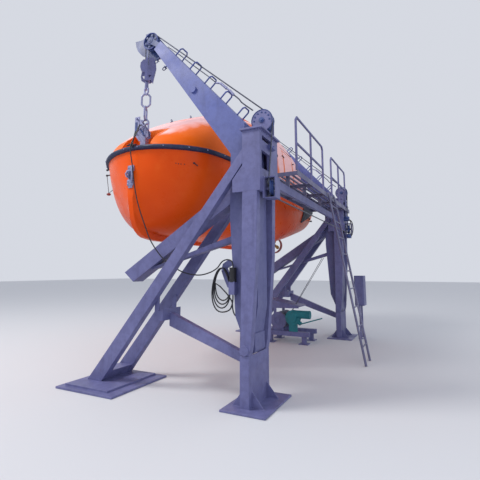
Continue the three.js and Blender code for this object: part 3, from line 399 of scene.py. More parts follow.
def marine_paint(name, base, faded, grime, rust=0.72, metal=0.0, below=None):
    """Brushed-on paint on steel plate: broad fading, runs of grime down the plate, and a few rust bleeds.
    `below` is (height, height, colour): the paint turns to that colour between the two heights."""
    material, tree, shader, place = new_finish(name)
    broad = between(tree, noise(tree, place, 0.9, 5), 0.36, 0.66)
    colour = mixed(tree, broad, base, faded)
    if below:
        height = add_node(tree, "SeparateXYZ", {0: place}).outputs[2]
        colour = mixed(tree, between(tree, height, *below[:2]), below[2], colour)
    mottle = between(tree, noise(tree, place, 9.0, 6, 0.7), 0.42, 0.72, 0.0, 0.5)
    colour = mixed(tree, mottle, colour, grime)
    runs = between(tree, noise(tree, place, 7.0, 4, 0.6, (1.0, 1.0, 0.09)), 0.55, 0.78, 0.0, 0.55)
    colour = mixed(tree, runs, colour, grime)
    chips = between(tree, noise(tree, place, 26.0, 5, 0.75), rust, rust + 0.035)
    colour = mixed(tree, chips, colour, rust_brown)
    gloss = between(tree, noise(tree, place, 3.0, 5), 0.3, 0.7, 0.38, 0.62)
    feed(tree, shader, {"Base Color": colour, "Roughness": gloss, "Metallic": metal,
                        "Normal": relief(tree, noise(tree, place, 85.0, 3), 0.12, 0.004)})
    return material


def gelcoat(name, base, deep, pale, rough=(0.22, 0.42), fade_and_glare=False):
    """Sprayed glass-fibre: deep even colour with chalky patches, scuffs and a slight wave."""
    material, tree, shader, place = new_finish(name)
    colour = mixed(tree, between(tree, noise(tree, place, 0.7, 3), 0.35, 0.7), base, deep)
    chalk = between(tree, noise(tree, place, 2.6, 6, 0.65), 0.56, 0.82, 0.0, 0.35)
    colour = mixed(tree, chalk, colour, pale)
    # Faces towards the sky turn pale pink: partly faded gelcoat, partly a painted highlight of sky
    # reflection.
    if fade_and_glare:
        upward = add_node(tree, "Attribute", attribute_name="upward").outputs["Fac"]
        patchy = {0: noise(tree, place, 2.5, 3), 1: 0.3}
        patches = add_node(tree, "Math", patchy, operation="MULTIPLY")
        bleach_and_glare = add_node(tree, "Math", {0: upward, 1: patches.outputs[0]}, operation="ADD")
        colour = mixed(tree, between(tree, bleach_and_glare.outputs[0], 0.83, 0.94, 0.0, 0.95), colour, bleached_and_glare_pink)
    scuff = between(tree, noise(tree, place, 11.0, 6, 0.8, (0.25, 1.0, 1.0)), 0.68, 0.76, 0.0, 0.6)
    colour = mixed(tree, scuff, colour, deep)
    gloss = between(tree, noise(tree, place, 5.0, 5), 0.3, 0.7, *rough)
    feed(tree, shader, {"Base Color": colour, "Roughness": gloss, "Coat Weight": 0.05,
                        "Coat Roughness": 0.18, "Specular IOR Level": 0.13,
                        "Normal": relief(tree, noise(tree, place, 3.2, 2), 0.18, 0.02)})
    return material


def rubber(name, base, worn, rough=0.62):
    material, tree, shader, place = new_finish(name)
    scuffed = between(tree, noise(tree, place, 14.0, 6, 0.75), 0.5, 0.8)
    gloss = between(tree, noise(tree, place, 8.0, 4), 0.3, 0.7, rough - 0.12, rough + 0.12)
    feed(tree, shader, {"Base Color": mixed(tree, scuffed, base, worn), "Roughness": gloss,
                        "Normal": relief(tree, noise(tree, place, 120.0, 3), 0.2)})
    return material


def galvanised(name, base, dull, rough=(0.3, 0.55), metal=0.75, spangle=38.0):
    material, tree, shader, place = new_finish(name)
    cells = add_node(tree, "TexVoronoi", {"Vector": place, "Scale": spangle}).outputs["Color"]
    grain = add_node(tree, "SeparateColor", {0: cells}).outputs[0]
    colour = mixed(tree, grain, base, dull)
    stains = between(tree, noise(tree, place, 6.0, 6, 0.7), 0.6, 0.8, 0.0, 0.5)
    colour = mixed(tree, stains, colour, weathered_zinc)
    gloss = between(tree, grain, 0.0, 1.0, *rough)
    feed(tree, shader, {"Base Color": colour, "Roughness": gloss, "Metallic": metal,
                        "Normal": relief(tree, noise(tree, place, 70.0, 4))})
    return material


def tinted_pane(name, deep, pale):
    material, tree, shader, place = new_finish(name)
    gloss = between(tree, noise(tree, place, 20.0, 5), 0.4, 0.8, 0.05, 0.2)
    feed(tree, shader, {"Base Color": mixed(tree, noise(tree, place, 6.0), deep, pale), "Roughness": gloss,
                        "Transmission Weight": 0.55})
    return material


davit_paint = marine_paint("davit_paint", (0.122, 0.127, 0.29), (0.16, 0.164, 0.35), (0.058, 0.058, 0.145))
boom_paint = marine_paint("boom_paint", (0.078, 0.105, 0.34), (0.104, 0.132, 0.375), (0.046, 0.056, 0.18),
                          below=(2.9, 4.1, (0.115, 0.122, 0.28)))
sheave_paint = marine_paint("sheave_paint", (0.022, 0.05, 0.19), (0.055, 0.095, 0.29),
                            (0.012, 0.02, 0.08))
grating_metal = marine_paint("grating_metal", (0.13, 0.13, 0.235), (0.19, 0.19, 0.31),
                             (0.062, 0.058, 0.105), rust=0.66, metal=0.25)
hull_gelcoat = gelcoat("hull_gelcoat", (0.86, 0.105, 0.006), (0.72, 0.062, 0.003), (0.92, 0.19, 0.03))
canopy_gelcoat = gelcoat("canopy_gelcoat", (0.92, 0.165, 0.008), (0.82, 0.12, 0.006), (0.95, 0.27, 0.07),
                         (0.3, 0.5), fade_and_glare=True)
fender_skin = rubber("fender_skin", (0.01, 0.018, 0.062), (0.04, 0.055, 0.125))
pad_skin = rubber("pad_skin", (0.008, 0.01, 0.03), (0.022, 0.026, 0.06))
cable_skin = rubber("cable_skin", (0.01, 0.01, 0.014), (0.045, 0.045, 0.055), 0.5)
dark_rope = rubber("dark_rope", (0.03, 0.022, 0.03), (0.09, 0.07, 0.08), 0.8)
pale_zinc = galvanised("pale_zinc", (0.34, 0.35, 0.54), (0.22, 0.23, 0.38), metal=0.45)
wire_steel = galvanised("wire_steel", (0.11, 0.12, 0.17), (0.05, 0.055, 0.08), metal=0.6, spangle=150.0)
drum_steel = galvanised("drum_steel", (0.3, 0.31, 0.38), (0.2, 0.21, 0.27))
teal_enamel = marine_paint("teal_enamel", (0.004, 0.165, 0.2), (0.01, 0.24, 0.27), (0.005, 0.07, 0.095))
red_primer = marine_paint("red_primer", (0.3, 0.03, 0.022), (0.38, 0.06, 0.04), (0.12, 0.02, 0.018))
cast_bronze = galvanised("cast_bronze", (0.42, 0.235, 0.08), (0.26, 0.15, 0.06), (0.3, 0.5), 0.9, 22.0)
pale_moulding = gelcoat("pale_moulding", (0.66, 0.63, 0.56), (0.55, 0.52, 0.46), (0.75, 0.73, 0.68),
                        (0.4, 0.6))
pane = tinted_pane("pane", (0.05, 0.07, 0.09), (0.1, 0.13, 0.15))

# The roof, and abaft midships the inboard side as well, is painted paler from one place on over a length:
# partly faded gelcoat, partly a painted highlight of sky reflection
pale_side_from, pale_side_over, pale_side_share = 0.4, 0.9, 0.75


def mark_upward(obj):
    """Keeps how far each point faces the sky, which sets how pale it is painted: partly faded gelcoat,
    partly a painted highlight of sky reflection.
    """
    mesh = obj.data
    mark = mesh.attributes.new("upward", "FLOAT", "POINT")
    values = []
    for v in mesh.vertices:
        abaft = min(1.0, max(0.0, (pale_side_from - v.co.x) / pale_side_over))
        values.append(max(0.0, v.normal.z) + pale_side_share * abaft * max(0.0, v.normal.y))
    mark.data.foreach_set("value", values)


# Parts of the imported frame, with merged corners, whole faces and softened edges
merge_within, flat_within = 0.0002, radians(1.5)
block_from, link_growth = 4.86, 0.004


def at_block(place):
    return place.z > block_from


def dressed(name, materials, edge=0.004, second=None, glare_and_bleach=False):
    """The faces for whose middle `second` says so get the second material. Chain links are thickened."""
    node = frame["nodes"][name]
    bm = bmesh.new()
    bm.from_mesh(node.data)
    bmesh.ops.remove_doubles(bm, verts=bm.verts, dist=merge_within)
    bmesh.ops.dissolve_limit(bm, angle_limit=flat_within, verts=bm.verts, edges=bm.edges)
    if edge:
        soften(bm, edge)
    if "fall_block" in name:
        bm.normal_update()
        for vert in bm.verts:
            vert.co += vert.normal * (0.0 if at_block(vert.co) else link_growth)
    for face in bm.faces:
        face.material_index = 1 if second and second(face.calc_center_median()) else 0
    obj = piece(bm, name + "_look", materials, [name], node["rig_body"], angle=34)
    even = obj.modifiers.new("even shading", "WEIGHTED_NORMAL")
    even.keep_sharp = True
    # Pale pink on sky-facing faces: partly faded gelcoat, partly a painted highlight of sky reflection.
    if glare_and_bleach:
        mark_upward(obj)


# The shore cable hangs from the fore hook over the bow to its socket on the arm. Spare turns hang on a peg.
cable_radius = 0.009
socket_body_top = 1.56
shore_route = [
    (2.8406, -0.892, 4.138), (2.872, -0.889, 4.132), (2.935, -0.873, 4.07), (3.000, -0.865, 3.93),
    (3.085, -0.859, 3.79), (3.135, -0.853, 3.68), (3.14, -0.839, 3.56), (3.125, -0.805, 3.35),
    (3.11, -0.773, 3.1), (3.088, -0.738, 2.88), (3.065, -0.688, 2.68), (3.025, -0.593, 2.4),
    (2.99, -0.483, 2.14), (2.942, -0.273, 1.875), (2.912, -0.048, 1.729), (2.892, 0.097, 1.671),
    (2.872, 0.317, 1.643), (2.862, 0.487, 1.68), (2.868, 0.607, 1.74), (2.9, 0.707, 1.83),
    (2.95, 0.822, 1.855), (2.974, 0.897, 1.83), (2.979, 0.917, 1.785), (2.979, 0.917, 1.7486),
]
out_of_socket = [(2.975, 0.917, 1.389), (2.975, 0.917, 1.335), (2.968, 0.902, 1.262), (2.948, 0.862, 1.196),
                 (2.93, 0.792, 1.16)]
into_arm = [(2.866, 0.842, 1.3), (2.868, 0.858, 1.2), (2.872, 0.88, 1.135), (2.876, 0.908, 1.105),
            (2.878, 0.9305, 1.1)]


def spare_route():
    """Down out of the socket, three turns over the peg, and down to the gland on the arm."""
    turns, pitch, steps = 3.28, 0.0195, 16
    near, middle, top = 2.923, 0.7, 1.742
    wide, deep = (0.165, 0.135), (0.592, 0.43)
    route = [Vector(p) for p in out_of_socket]
    last = round(steps * turns)
    for i in range(last + 1):
        share = i / last
        turn = pi * (1 + 2 * i / steps)
        w = wide[0] + (wide[1] - wide[0]) * share
        d = deep[0] + (deep[1] - deep[0]) * share
        side = w * sin(turn) * (0.85 - 0.15 * cos(turn))
        route.append(Vector((near - pitch * i / steps, middle + side, top - d * (1 - cos(turn)) / 2)))
    return route + [Vector(p) for p in into_arm]


dressed("cable_socket", [davit_paint, cable_skin], second=lambda place: place.z > socket_body_top)
shore_line = run_through(shore_route)
shore = free_cord("shore_cable_run", shore_line, "shore_cable")
spare_line = run_through(spare_route(), 3)
spare_turns = free_cord("spare_turns", spare_line, "cable_hank")


# Hull: stations from stern to bow as x, half beam at the sheer, keel, garboard, bilge control point (y, z)
transom, stem = -3.42, 3.05
hull_stations = [
    [transom, 1.11, 0.655, 0.657, 1.15, 0.6],
    [-3.33, 1.195, 0.6, 0.602, 1.245, 0.5],
    [-2.9, 1.24, 0.56, 0.562, 1.32, 0.34],
    [-2.3, 1.25, 0.42, 0.422, 1.36, 0.18],
    [-1.7, 1.25, 0.000, 0.27, 1.375, 0.06],
    [-1.000, 1.25, 0.000, 0.12, 1.39, -0.04],
    [0.000, 1.25, 0.000, 0.06, 1.4, -0.06],
    [1.000, 1.248, 0.000, 0.06, 1.35, -0.03],
    [1.8, 1.215, 0.000, 0.075, 1.18, 0.03],
    [2.4, 1.12, 0.000, 0.1, 0.91, 0.14],
    [2.72, 0.86, 0.02, 0.15, 0.57, 0.33],
    [2.88, 0.635, 0.11, 0.25, 0.34, 0.56],
    [2.99, 0.39, 0.3, 0.4, 0.18, 0.7],
    [stem, 0.11, 0.6, 0.64, 0.055, 0.9],
]
hull_rows = eased_rows(hull_stations)
hull_steps = 18
keel_half = 0.045


def boat_ring(x, side):
    whole = [*side, *[(-y, z) for y, z in reversed(side)]]
    return [in_boat(x, y, bend_up(x, z)) for y, z in whole]


def hull_ring(row, inset=0.0, top=sheer):
    """Half a section and its mirror. An inset ring has no keel."""
    x, half, low, garboard, control_y, control_z = row
    foot = (min(keel_half + 0.015, half * 0.6), garboard)
    side = [(0.006, garboard + inset) if inset > 0 else (min(keel_half, half * 0.5) - inset, low + inset)]
    for i in range(hull_steps + 1):
        t = i / hull_steps
        y = (1 - t) ** 2 * foot[0] + 2 * t * (1 - t) * control_y + t * t * half
        z = (1 - t) ** 2 * foot[1] + 2 * t * (1 - t) * control_z + t * t * sheer
        side.append((max(y - inset, 0.007), min(z + inset, sheer)))
    if top > sheer:
        side.append((side[-1][0], top))
    return boat_ring(x, side)


def hull_volume(grow=0.0, top=sheer):
    return scratch(skin_over([hull_ring(row, -grow, top) for row in hull_rows]), "hull volume")


def add_boat_prism(bm, points, half):
    add_prism(bm, [(x, z + keel.z) for x, z in points], "Y", keel.y - half, keel.y + half)


def boat_prism(points, half):
    bm = bmesh.new()
    add_boat_prism(bm, points, half)
    return scratch(bm, "prism")


def boat_box(x, y, z):
    bm = bmesh.new()
    add_box(bm, *map(in_boat, x, y, z))
    return scratch(bm, "block")


def make_hull():
    room_rows = [row for row in hull_rows if -3.34 < row[0] < 2.9]
    room = scratch(skin_over([hull_ring(row, shell, sheer + 0.1) for row in room_rows]), "hull room")
    bm = carve(hull_volume(), [(CUT, room)])
    piece(bm, "hull_shell", hull_gelcoat, ["hull"], angle=30)


def make_stern_gear():
    """Skeg with its rounded edges, stern tube and the rudder's boss under the transom."""
    bm = bmesh.new()
    add_boat_prism(bm, [(-2.64, 0), (-0.8, 0), (-0.8, 0.2), (-1.7, 0.33), (-2.78, 0.6),
                        (-2.7, 0.3)], keel_half)
    soften(bm, 0.014, segments=3)
    add_rod(bm, in_boat(-2.6, 0, 0.27), in_boat(-2.86, 0, 0.27), 0.052, 0.044, sides=24)
    add_rod(bm, in_boat(-3.23, 0, 0.572), in_boat(-3.23, 0, 0.68), 0.04, 0.052, sides=24)
    piece(bm, "skeg_and_tube", hull_gelcoat)


make_hull()
make_stern_gear()


# Fender: a rubber section around the sheer, with a pad down each quarter
fender_height = 0.056
fender_out, fender_middle = 0.05, 1.387 + fender_height / 2
bolt_spacing = 0.3
quarter_outline = [(-3.33, 1.392), (-3.33, 1.175), (-2.2, 0.78), (-2.11, 0.79), (-2.18, 1.01),
                   (-2.23, 1.392)]


def beside_sheer(row, out):
    """A place in plan pushed out from a hull station, and swung towards bow or stern near the ends."""
    x, half = row[0], row[1]
    lean = (x - 2.2) / 0.9 if x > 2.2 else -0.8 if x < -3.2 else 0.0
    return x + out * lean, half + out * (1 - abs(lean) * 0.4)


def make_fender():
    """The section is (how far out, height): a fat half round with a lip above and below."""
    half, middle = fender_height * 0.68, fender_middle
    section = [(-0.012, -half), (0.018, -half), (0.04, -half * 0.72), (fender_out, 0.0),
               (0.04, half * 0.72), (0.018, half), (-0.012, half)]
    sides = [[(beside_sheer(row, out), middle + h) for out, h in section] for row in hull_rows]
    at_stem = [((stem + out, 0.0), middle + h) for out, h in section]
    at_transom = [((transom - out, 0.0), middle + h) for out, h in section]

    def ring(places, flip=1):
        return [in_boat(x, flip * y, bend_up(x, z)) for (x, y), z in places]
    whole = [*[ring(places) for places in sides], ring(at_stem),
             *[ring(places, -1) for places in reversed(sides)], ring(at_transom)]
    bm = skin_over(whole, endless=True)
    piece(bm, "fender_rubber_band", fender_skin, ["fender"], angle=40)


def make_quarter_pads():
    pads = carve(hull_volume(0.016), [(KEEP, boat_prism(quarter_outline, 1.5)),
                                      (CUT, hull_volume(0.001, sheer + fender_height)),
                                      (CUT, boat_box((-3.4, -2.0), (-0.7, 0.7), (0, 1.5)))])
    piece(pads, "quarter_pads", pad_skin)


def make_fender_bolts():
    bm = bmesh.new()
    run = 0.0
    places = [beside_sheer(row, fender_out - 0.003) for row in hull_rows]
    for a, b in zip(places, places[1:]):
        run += dist(a, b)
        if run < bolt_spacing:
            continue
        run = 0.0
        out = Vector((b[1] - a[1], a[0] - b[0], 0)).normalized()
        for flip in (1, -1):
            place = in_boat(b[0], b[1] * flip, bend_up(b[0], fender_middle))
            axis = Vector((-out.x, -out.y * flip, 0))
            add_rod(bm, place, place + axis * 0.008, 0.011, 0.009, sides=12)
            add_rod(bm, place + axis * 0.006, place + axis * 0.013, 0.006, sides=6)
    piece(bm, "fender_bolts", pale_zinc)


make_fender()
make_quarter_pads()
make_fender_bolts()


# Canopy stations from stern to bow: x, half width at the foot, side and shoulder control (y, z), crown
canopy_foot = sheer + 0.0003
canopy_stations = [
    [-3.4, 1.05, 1.045, 1.6, 0.85, 2.000, 2.06],
    [-3.25, 1.165, 1.15, 1.68, 0.93, 2.25, 2.3],
    [-2.95, 1.205, 1.19, 1.75, 0.98, 2.4, 2.52],
    [-2.58, 1.22, 1.2, 1.76, 1.000, 2.44, 2.64],
    [-2.2, 1.228, 1.235, 2.35, 1.12, 2.8, 2.86],
    [-1.000, 1.238, 1.24, 2.62, 1.15, 2.98, 3.02],
    [0.000, 1.238, 1.24, 2.56, 1.13, 2.92, 2.98],
    [0.9, 1.225, 1.22, 2.42, 1.08, 2.76, 2.8],
    [1.7, 1.2, 1.185, 2.18, 0.985, 2.44, 2.46],
    [2.3, 1.115, 1.1, 1.9, 0.84, 2.11, 2.12],
    [2.65, 0.89, 0.865, 1.7, 0.61, 1.84, 1.85],
    [2.85, 0.65, 0.62, 1.6, 0.44, 1.69, 1.69],
    [2.97, 0.405, 0.365, 1.5, 0.215, 1.56, 1.56],
]
canopy_rows = eased_rows(canopy_stations)
canopy_steps = 22

doorway = {"x": (-1.5, -0.8), "z": (1.62, 2.38)}
fore_hatch = {"x": (1.45, 2.05), "half": 0.28, "low": 2.000}
helm_well = {"x": (-1.85, -1.15), "half": 0.32}
pocket = {"half": 0.3, "wall": 0.03}
fore_pocket = [(2.56, 2.000), (2.6, 1.9), (2.64, 1.53), (2.67, 1.5), (3.3, 1.531), (3.3, 2.4),
               (2.56, 2.4)]
aft_pocket = [(-2.48, 2.7), (-2.56, 2.5), (-2.62, 1.63), (-2.66, 1.6), (-3.6, 1.6),
              (-3.6, 3.000), (-2.48, 3.000)]
lid_gap = 0.005


def canopy_ring(row, inset=0.0, low=canopy_foot):
    x, half, side_y, side_z, shoulder_y, shoulder_z, crown = row
    curve = [(half - inset, low), (side_y - inset, side_z - inset), (shoulder_y - inset, shoulder_z - inset),
             (0.008, crown - inset)]
    side = []
    for i in range(canopy_steps + 1):
        t = i / canopy_steps
        share = ((1 - t) ** 3, 3 * t * (1 - t) ** 2, 3 * t * t * (1 - t), t**3)
        side.append(tuple(sum(w * p[k] for w, p in zip(share, curve)) for k in (0, 1)))
    return boat_ring(x, side)


def canopy_volume(grow=0.0):
    return scratch(skin_over([canopy_ring(row, -grow) for row in canopy_rows]), "canopy volume")


def canopy_wall():
    rows = [row for row in canopy_rows if -3.26 < row[0] < 2.86]
    room = scratch(skin_over([canopy_ring(row, shell, canopy_foot - 0.1) for row in rows]), "canopy room")
    return scratch(carve(canopy_volume(), [(CUT, room)]), "canopy wall")


def liner(points, side):
    """Floor and walls of a hook pocket."""
    wall = pocket["wall"]
    grown = [(x - side * wall, z - wall) for x, z in points[:4]]
    grown += [(points[4][0], points[4][1] - wall), points[5], (points[6][0] - side * wall, points[6][1])]
    reach = pocket["half"] + wall
    return scratch(carve(boat_prism(grown, reach), [(KEEP, canopy_volume(0.0005))]), "liner")


def make_canopy():
    reach, hatch_half, well_half = pocket["half"], fore_hatch["half"], helm_well["half"]
    bm = carve(canopy_wall(), [
        (JOIN, liner(fore_pocket, 1)),
        (JOIN, liner(aft_pocket, -1)),
        (CUT, boat_prism(fore_pocket, reach)),
        (CUT, boat_prism(aft_pocket, reach)),
        (CUT, boat_box(doorway["x"], (-1.5, 1.5), doorway["z"])),
        (CUT, boat_box(fore_hatch["x"], (-hatch_half, hatch_half), (fore_hatch["low"], 3))),
        (CUT, boat_box(helm_well["x"], (-well_half, well_half), (2.7, 3.3))),
    ])
    mark_upward(piece(bm, "canopy_shell", canopy_gelcoat,
                      ["canopy_stern", "canopy_middle", "canopy_bow"], angle=30))


def make_lids():
    """Doors and fore hatch are cut from the canopy's own wall with a gap all round."""
    def within(pair):
        return pair[0] + lid_gap, pair[1] - lid_gap
    half = fore_hatch["half"]
    lids = [
        ("door_port", doorway["x"], (0.7, 1.5), within(doorway["z"]), "port_leaf"),
        ("door_starboard", doorway["x"], (-1.5, -0.7), within(doorway["z"]), "starboard_leaf"),
        ("fore_hatch_lid", fore_hatch["x"], within((-half, half)), (fore_hatch["low"], 3.0), "fore_lid"),
    ]
    for name, x, y, z, body in lids:
        bm = carve(canopy_wall(), [(KEEP, boat_box(within(x), y, z))])
        mark_upward(piece(bm, name + "_leaf", canopy_gelcoat, [name], body, angle=30))


make_canopy()
make_lids()


# The other parts of the imported frame
# The arm's head round the head sheave gets the darker sheave paint as painted shade.
def shaded_arm_head(place):
    return place.y < -0.62 and place.z > 5.48 - (place.y + 0.62) * 0.4


for end in ("fore", "aft"):
    for part in ("foot", "post_bow_side", "post_stern_side", "head_box", "leg_bow_side", "leg_stern_side",
                 "leg_pad", "brace"):
        dressed(f"{end}_{part}", davit_paint)
    for part in ("top_sheave", "side_sheave", "head_sheave"):
        dressed(f"{end}_{part}", sheave_paint, 0.002)
    dressed(f"{end}_arm", [boom_paint, sheave_paint], 0.006, second=shaded_arm_head)
    dressed(f"{end}_cradle_beam", davit_paint, 0.005)
    dressed(f"{end}_fall_block", [pale_zinc, davit_paint], 0.0015, second=at_block)
for part, material, slot, edge in (
        ("gangway_beam", davit_paint, DAVIT, 0.006), ("gangway_platform", grating_metal, GRATING, 0),
        ("gangway_rail_bow", davit_paint, DAVIT, 0), ("gangway_rail_stern", davit_paint, DAVIT, 0),
        ("ladder", grating_metal, GRATING, 0), ("winch_bed", davit_paint, DAVIT, 0.003),
        ("winch_drum", drum_steel, STEEL, 0.003), ("winch_motor", teal_enamel, TEAL, 0.005),
        ("control_cabinet", davit_paint, DAVIT, 0.003), ("cabinet_door", davit_paint, DAVIT, 0.003)):
    dressed(part, material, edge)
# The cupola and its lid also get the pale pink on sky-facing faces: partly faded gelcoat, partly painted sky
# reflection.
dressed("helm_cupola", canopy_gelcoat, 0.006, glare_and_bleach=True)
dressed("helm_hatch_lid", canopy_gelcoat, 0.008, glare_and_bleach=True)
for part, material, slot, edge in (
        ("cupola_glass", pane, GLASS, 0), ("sole_and_benches", pale_moulding, INSIDE, 0),
        ("engine", pale_moulding, INSIDE, 0.03), ("steering_nozzle", red_primer, RED, 0.004),
        ("propeller", cast_bronze, BRONZE, 0.002), ("hook_fore", pale_zinc, STEEL, 0.002),
        ("hook_aft", pale_zinc, STEEL, 0.002), ("stem_bracket", pale_zinc, STEEL, 0.003),
        ("cable_hook", boom_paint, DAVIT, 0.002)):
    dressed(part, material, edge)


# Wires: taut, so none of them is a cord
wire_radius, thin_wire, limit_wire = 0.01, 0.006, 0.008
fall_slant = degrees(atan2(1.392 + 0.712, 5.786 - 3.918))
winch_runs = (((-1.66, 0.971, 2.015), (-1.66, 0.06, 0.56)),
              ((-1.62, 1.02, 2.015), (-1.6, 0.066, 0.52)))


def crossing_wire(name, line):
    """A taut line between the arms and the fixed frame."""
    mesh = bar_mesh(name, [line], wire_radius, 2)
    mesh.materials.append(wire_steel)
    shade(mesh, 50)
    obj = new_object(name, mesh)
    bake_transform(obj)


def make_falls(end, x):
    """From the block over the head sheave, along the arm, over the top sheave and down."""
    head_middle = Vector((x, head_sheave["y"], head_sheave["z"]))
    head_r = head_sheave["r"] - groove
    top_middle = Vector((x, top_sheave["y"], top_sheave["z"]))
    top_r = top_sheave["r"] - groove
    leave = arc(head_middle, head_r, 180, 90 - fall_slant, inboard, up)
    land = arc(top_middle, top_r, 90 - fall_slant, 0, inboard, up)
    upper, lower = leave[-1], land[0]
    crossing_wire(end + "_fall_wire", straight(upper, lower))
    rise = Vector((x - 0.02, head_middle.y - head_r, head_middle.z - 0.42))
    back_x, back_y = x + 0.028, fall_y + 0.045
    back = [Vector((back_x, back_y, head_middle.z - 0.1)), Vector((back_x, back_y, 5.24))]
    rods(end + "_fall_round_head", [[rise, leave[0], *leave], back], wire_radius, wire_steel)
    wheel = Vector((x + side_sheave["x"], side_sheave["y"], side_sheave["z"]))
    fall = [*land, Vector((x + 0.02, top_middle.y + top_r, top_middle.z - 0.1)),
            Vector((x + side_sheave["x"] + side_sheave["r"] * 0.86, 1.448, wheel.z + 0.05))]
    turn = arc(wheel, side_sheave["r"] - groove, 10, -90, to_bow, up, 10)
    rods(end + "_fall_down", [fall, turn], wire_radius, wire_steel, FRAME)


for end, x in arm_planes.items():
    make_falls(end, x)
run_y, run_z = side_sheave["y"], side_sheave["z"] - side_sheave["r"] + groove
fore_x, aft_x = arm_plane + side_sheave["x"], side_sheave["x"] - arm_plane
run = straight((fore_x, run_y, run_z), (aft_x, run_y, run_z), 2)
rods("fall_run", [run], wire_radius, wire_steel, FRAME)
runs = [straight(top, foot, 2) for top, foot in winch_runs]
rods("winch_wires", runs, thin_wire, wire_steel, FRAME)


def make_drum_turns():
    """Wire wound on the drum, one layer."""
    pitch, radius, margin, steps = 0.021, winch["r"] + 0.004, 0.03, 20
    turns = int(2 * (winch["half"] - margin) / pitch)
    line = []
    for i in range(turns * steps + 1):
        a = 2 * pi * i / steps
        x = winch["x"] - winch["half"] + margin + pitch * i / steps
        line.append(Vector((x, winch["y"] + radius * cos(a), winch["z"] + radius * sin(a))))
    rods("drum_turns", [line], wire_radius, wire_steel, "drum", resolution=1)


make_drum_turns()

# A second line runs inboard of the fall: rod, rigging screw, then hose down to the frame's head, as (y, z)
limit_rod = [(-0.41, 5.45), (-0.14, 5.212), (0.066, 5.015), (0.384, 4.725), (0.536, 4.576)]
screw_stops = [(0.536, 4.576), (0.617, 4.547), (0.712, 4.451), (0.778, 4.394), (0.833, 4.32)]
screw_thickness = (0.014, 0.02, 0.014, 0.018)
limit_hose = [(0.833, 4.32), (0.936, 4.216), (0.967, 4.17), (1.154, 4.002)]


def make_limit_line(end, x):
    rod, stops, hose = ([Vector((x + 0.05, y, z)) for y, z in part]
                        for part in (limit_rod, screw_stops, limit_hose))
    rods(end + "_limit_line", [rod], limit_wire, wire_steel)
    bm = bmesh.new()
    for a, b, thick in zip(stops, stops[1:], screw_thickness):
        add_rod(bm, a, b, thick, sides=12)
        add_ball(bm, b, thick * 1.25, sides=10)
    piece(bm, end + "_rigging_screw", pale_zinc)
    crossing_wire(end + "_limit_tail", run_through(hose))


for end, x in arm_planes.items():
    make_limit_line(end, x)


# Eyes, hooks and lines that are too small for the frame's own parts
def eye_bolt(bm, place, out, radius=0.022, thick=0.006):
    """A ring that stands on a plate, facing along X."""
    place, out = Vector(place), Vector(out).normalized()
    add_rod(bm, place - out * 0.004, place + out * 0.006, radius * 1.3, sides=12)
    middle = place + out * (radius + 0.006)
    add_bars(bm, arc(middle, radius, 0, 360, to_bow, out, 14), thick, 6)


def roof_height(x, y):
    """Height of the canopy's skin above a place, from the rows on either side of it."""
    for a, b in zip(canopy_rows, canopy_rows[1:]):
        if a[0] <= x <= b[0]:
            share = (x - a[0]) / (b[0] - a[0])
            row = [p + (q - p) * share for p, q in zip(a, b)]
            skin = canopy_ring(row)[:canopy_steps + 1]
            for p, q in zip(skin, skin[1:]):
                if min(p.y, q.y) <= y <= max(p.y, q.y) and p.z > keel.z + 1.6:
                    t = (y - p.y) / (q.y - p.y) if q.y != p.y else 0
                    return p.z + (q.z - p.z) * t
            return skin[-1].z


def make_bow_lashing():
    """Two lines from the fore hook plate to the shackle that holds the cable at the fender."""
    lines = [[(2.83, -0.96, 4.17), (2.96, -0.93, 3.93), (3.07, -0.88, 3.72)],
             [(2.83, -1.05, 4.06), (2.96, -0.96, 3.88), (3.08, -0.86, 3.7)]]
    rods("bow_lashing", [run_through(line, 5) for line in lines], 0.008, cable_skin)
    bm = bmesh.new()
    add_ball(bm, (3.075, -0.88, 3.715), 0.03)
    add_ball(bm, (3.1, -0.84, 3.69), 0.026)
    add_ball(bm, (3.065, -0.94, 3.735), 0.02)
    add_rod(bm, (3.07, -0.99, 3.722), (3.1, -0.77, 3.7), 0.012, sides=10)
    piece(bm, "bow_shackle", dark_rope)


def make_roof_fittings():
    bm = bmesh.new()
    for x in (1.399, 2.032):
        eye_bolt(bm, (x, keel.y, roof_height(x, keel.y) - 0.002), (0.25, 0, 1))
    for x in (-0.4, 0.5):
        for y in (-0.55, 0.55):
            eye_bolt(bm, (x, keel.y + y, roof_height(x, keel.y + abs(y)) - 0.004), (0, y * 0.5, 1))
    piece(bm, "roof_eyes", sheave_paint)
    lines = []
    for y in (-0.62, 0.62):
        heights = [(x, roof_height(x, keel.y + abs(y)) + 0.055) for x in (-0.65, -0.1, 0.45, 0.95)]
        top = [Vector((x, keel.y + y, z)) for x, z in heights]
        foot = [Vector((p.x, p.y, p.z - 0.06)) for p in (top[0], top[-1])]
        lines.append([foot[0], *run_through(top, 5), foot[1]])
    rods("roof_handrails", lines, 0.012, canopy_gelcoat)


def make_boom_eyes():
    bm = bmesh.new()
    out = Vector((0, -boom_underside_slope, -1)).normalized()
    for x in arm_planes.values():
        for y, z in ((-0.696, 5.289), (-0.52, 5.11)):
            eye = Vector((x, y, z)) - out * 0.03
            add_rod(bm, eye, eye - out * 0.11, 0.013, sides=8)
            eye_bolt(bm, eye, out, 0.028, 0.008)
    piece(bm, "boom_eyes", sheave_paint)


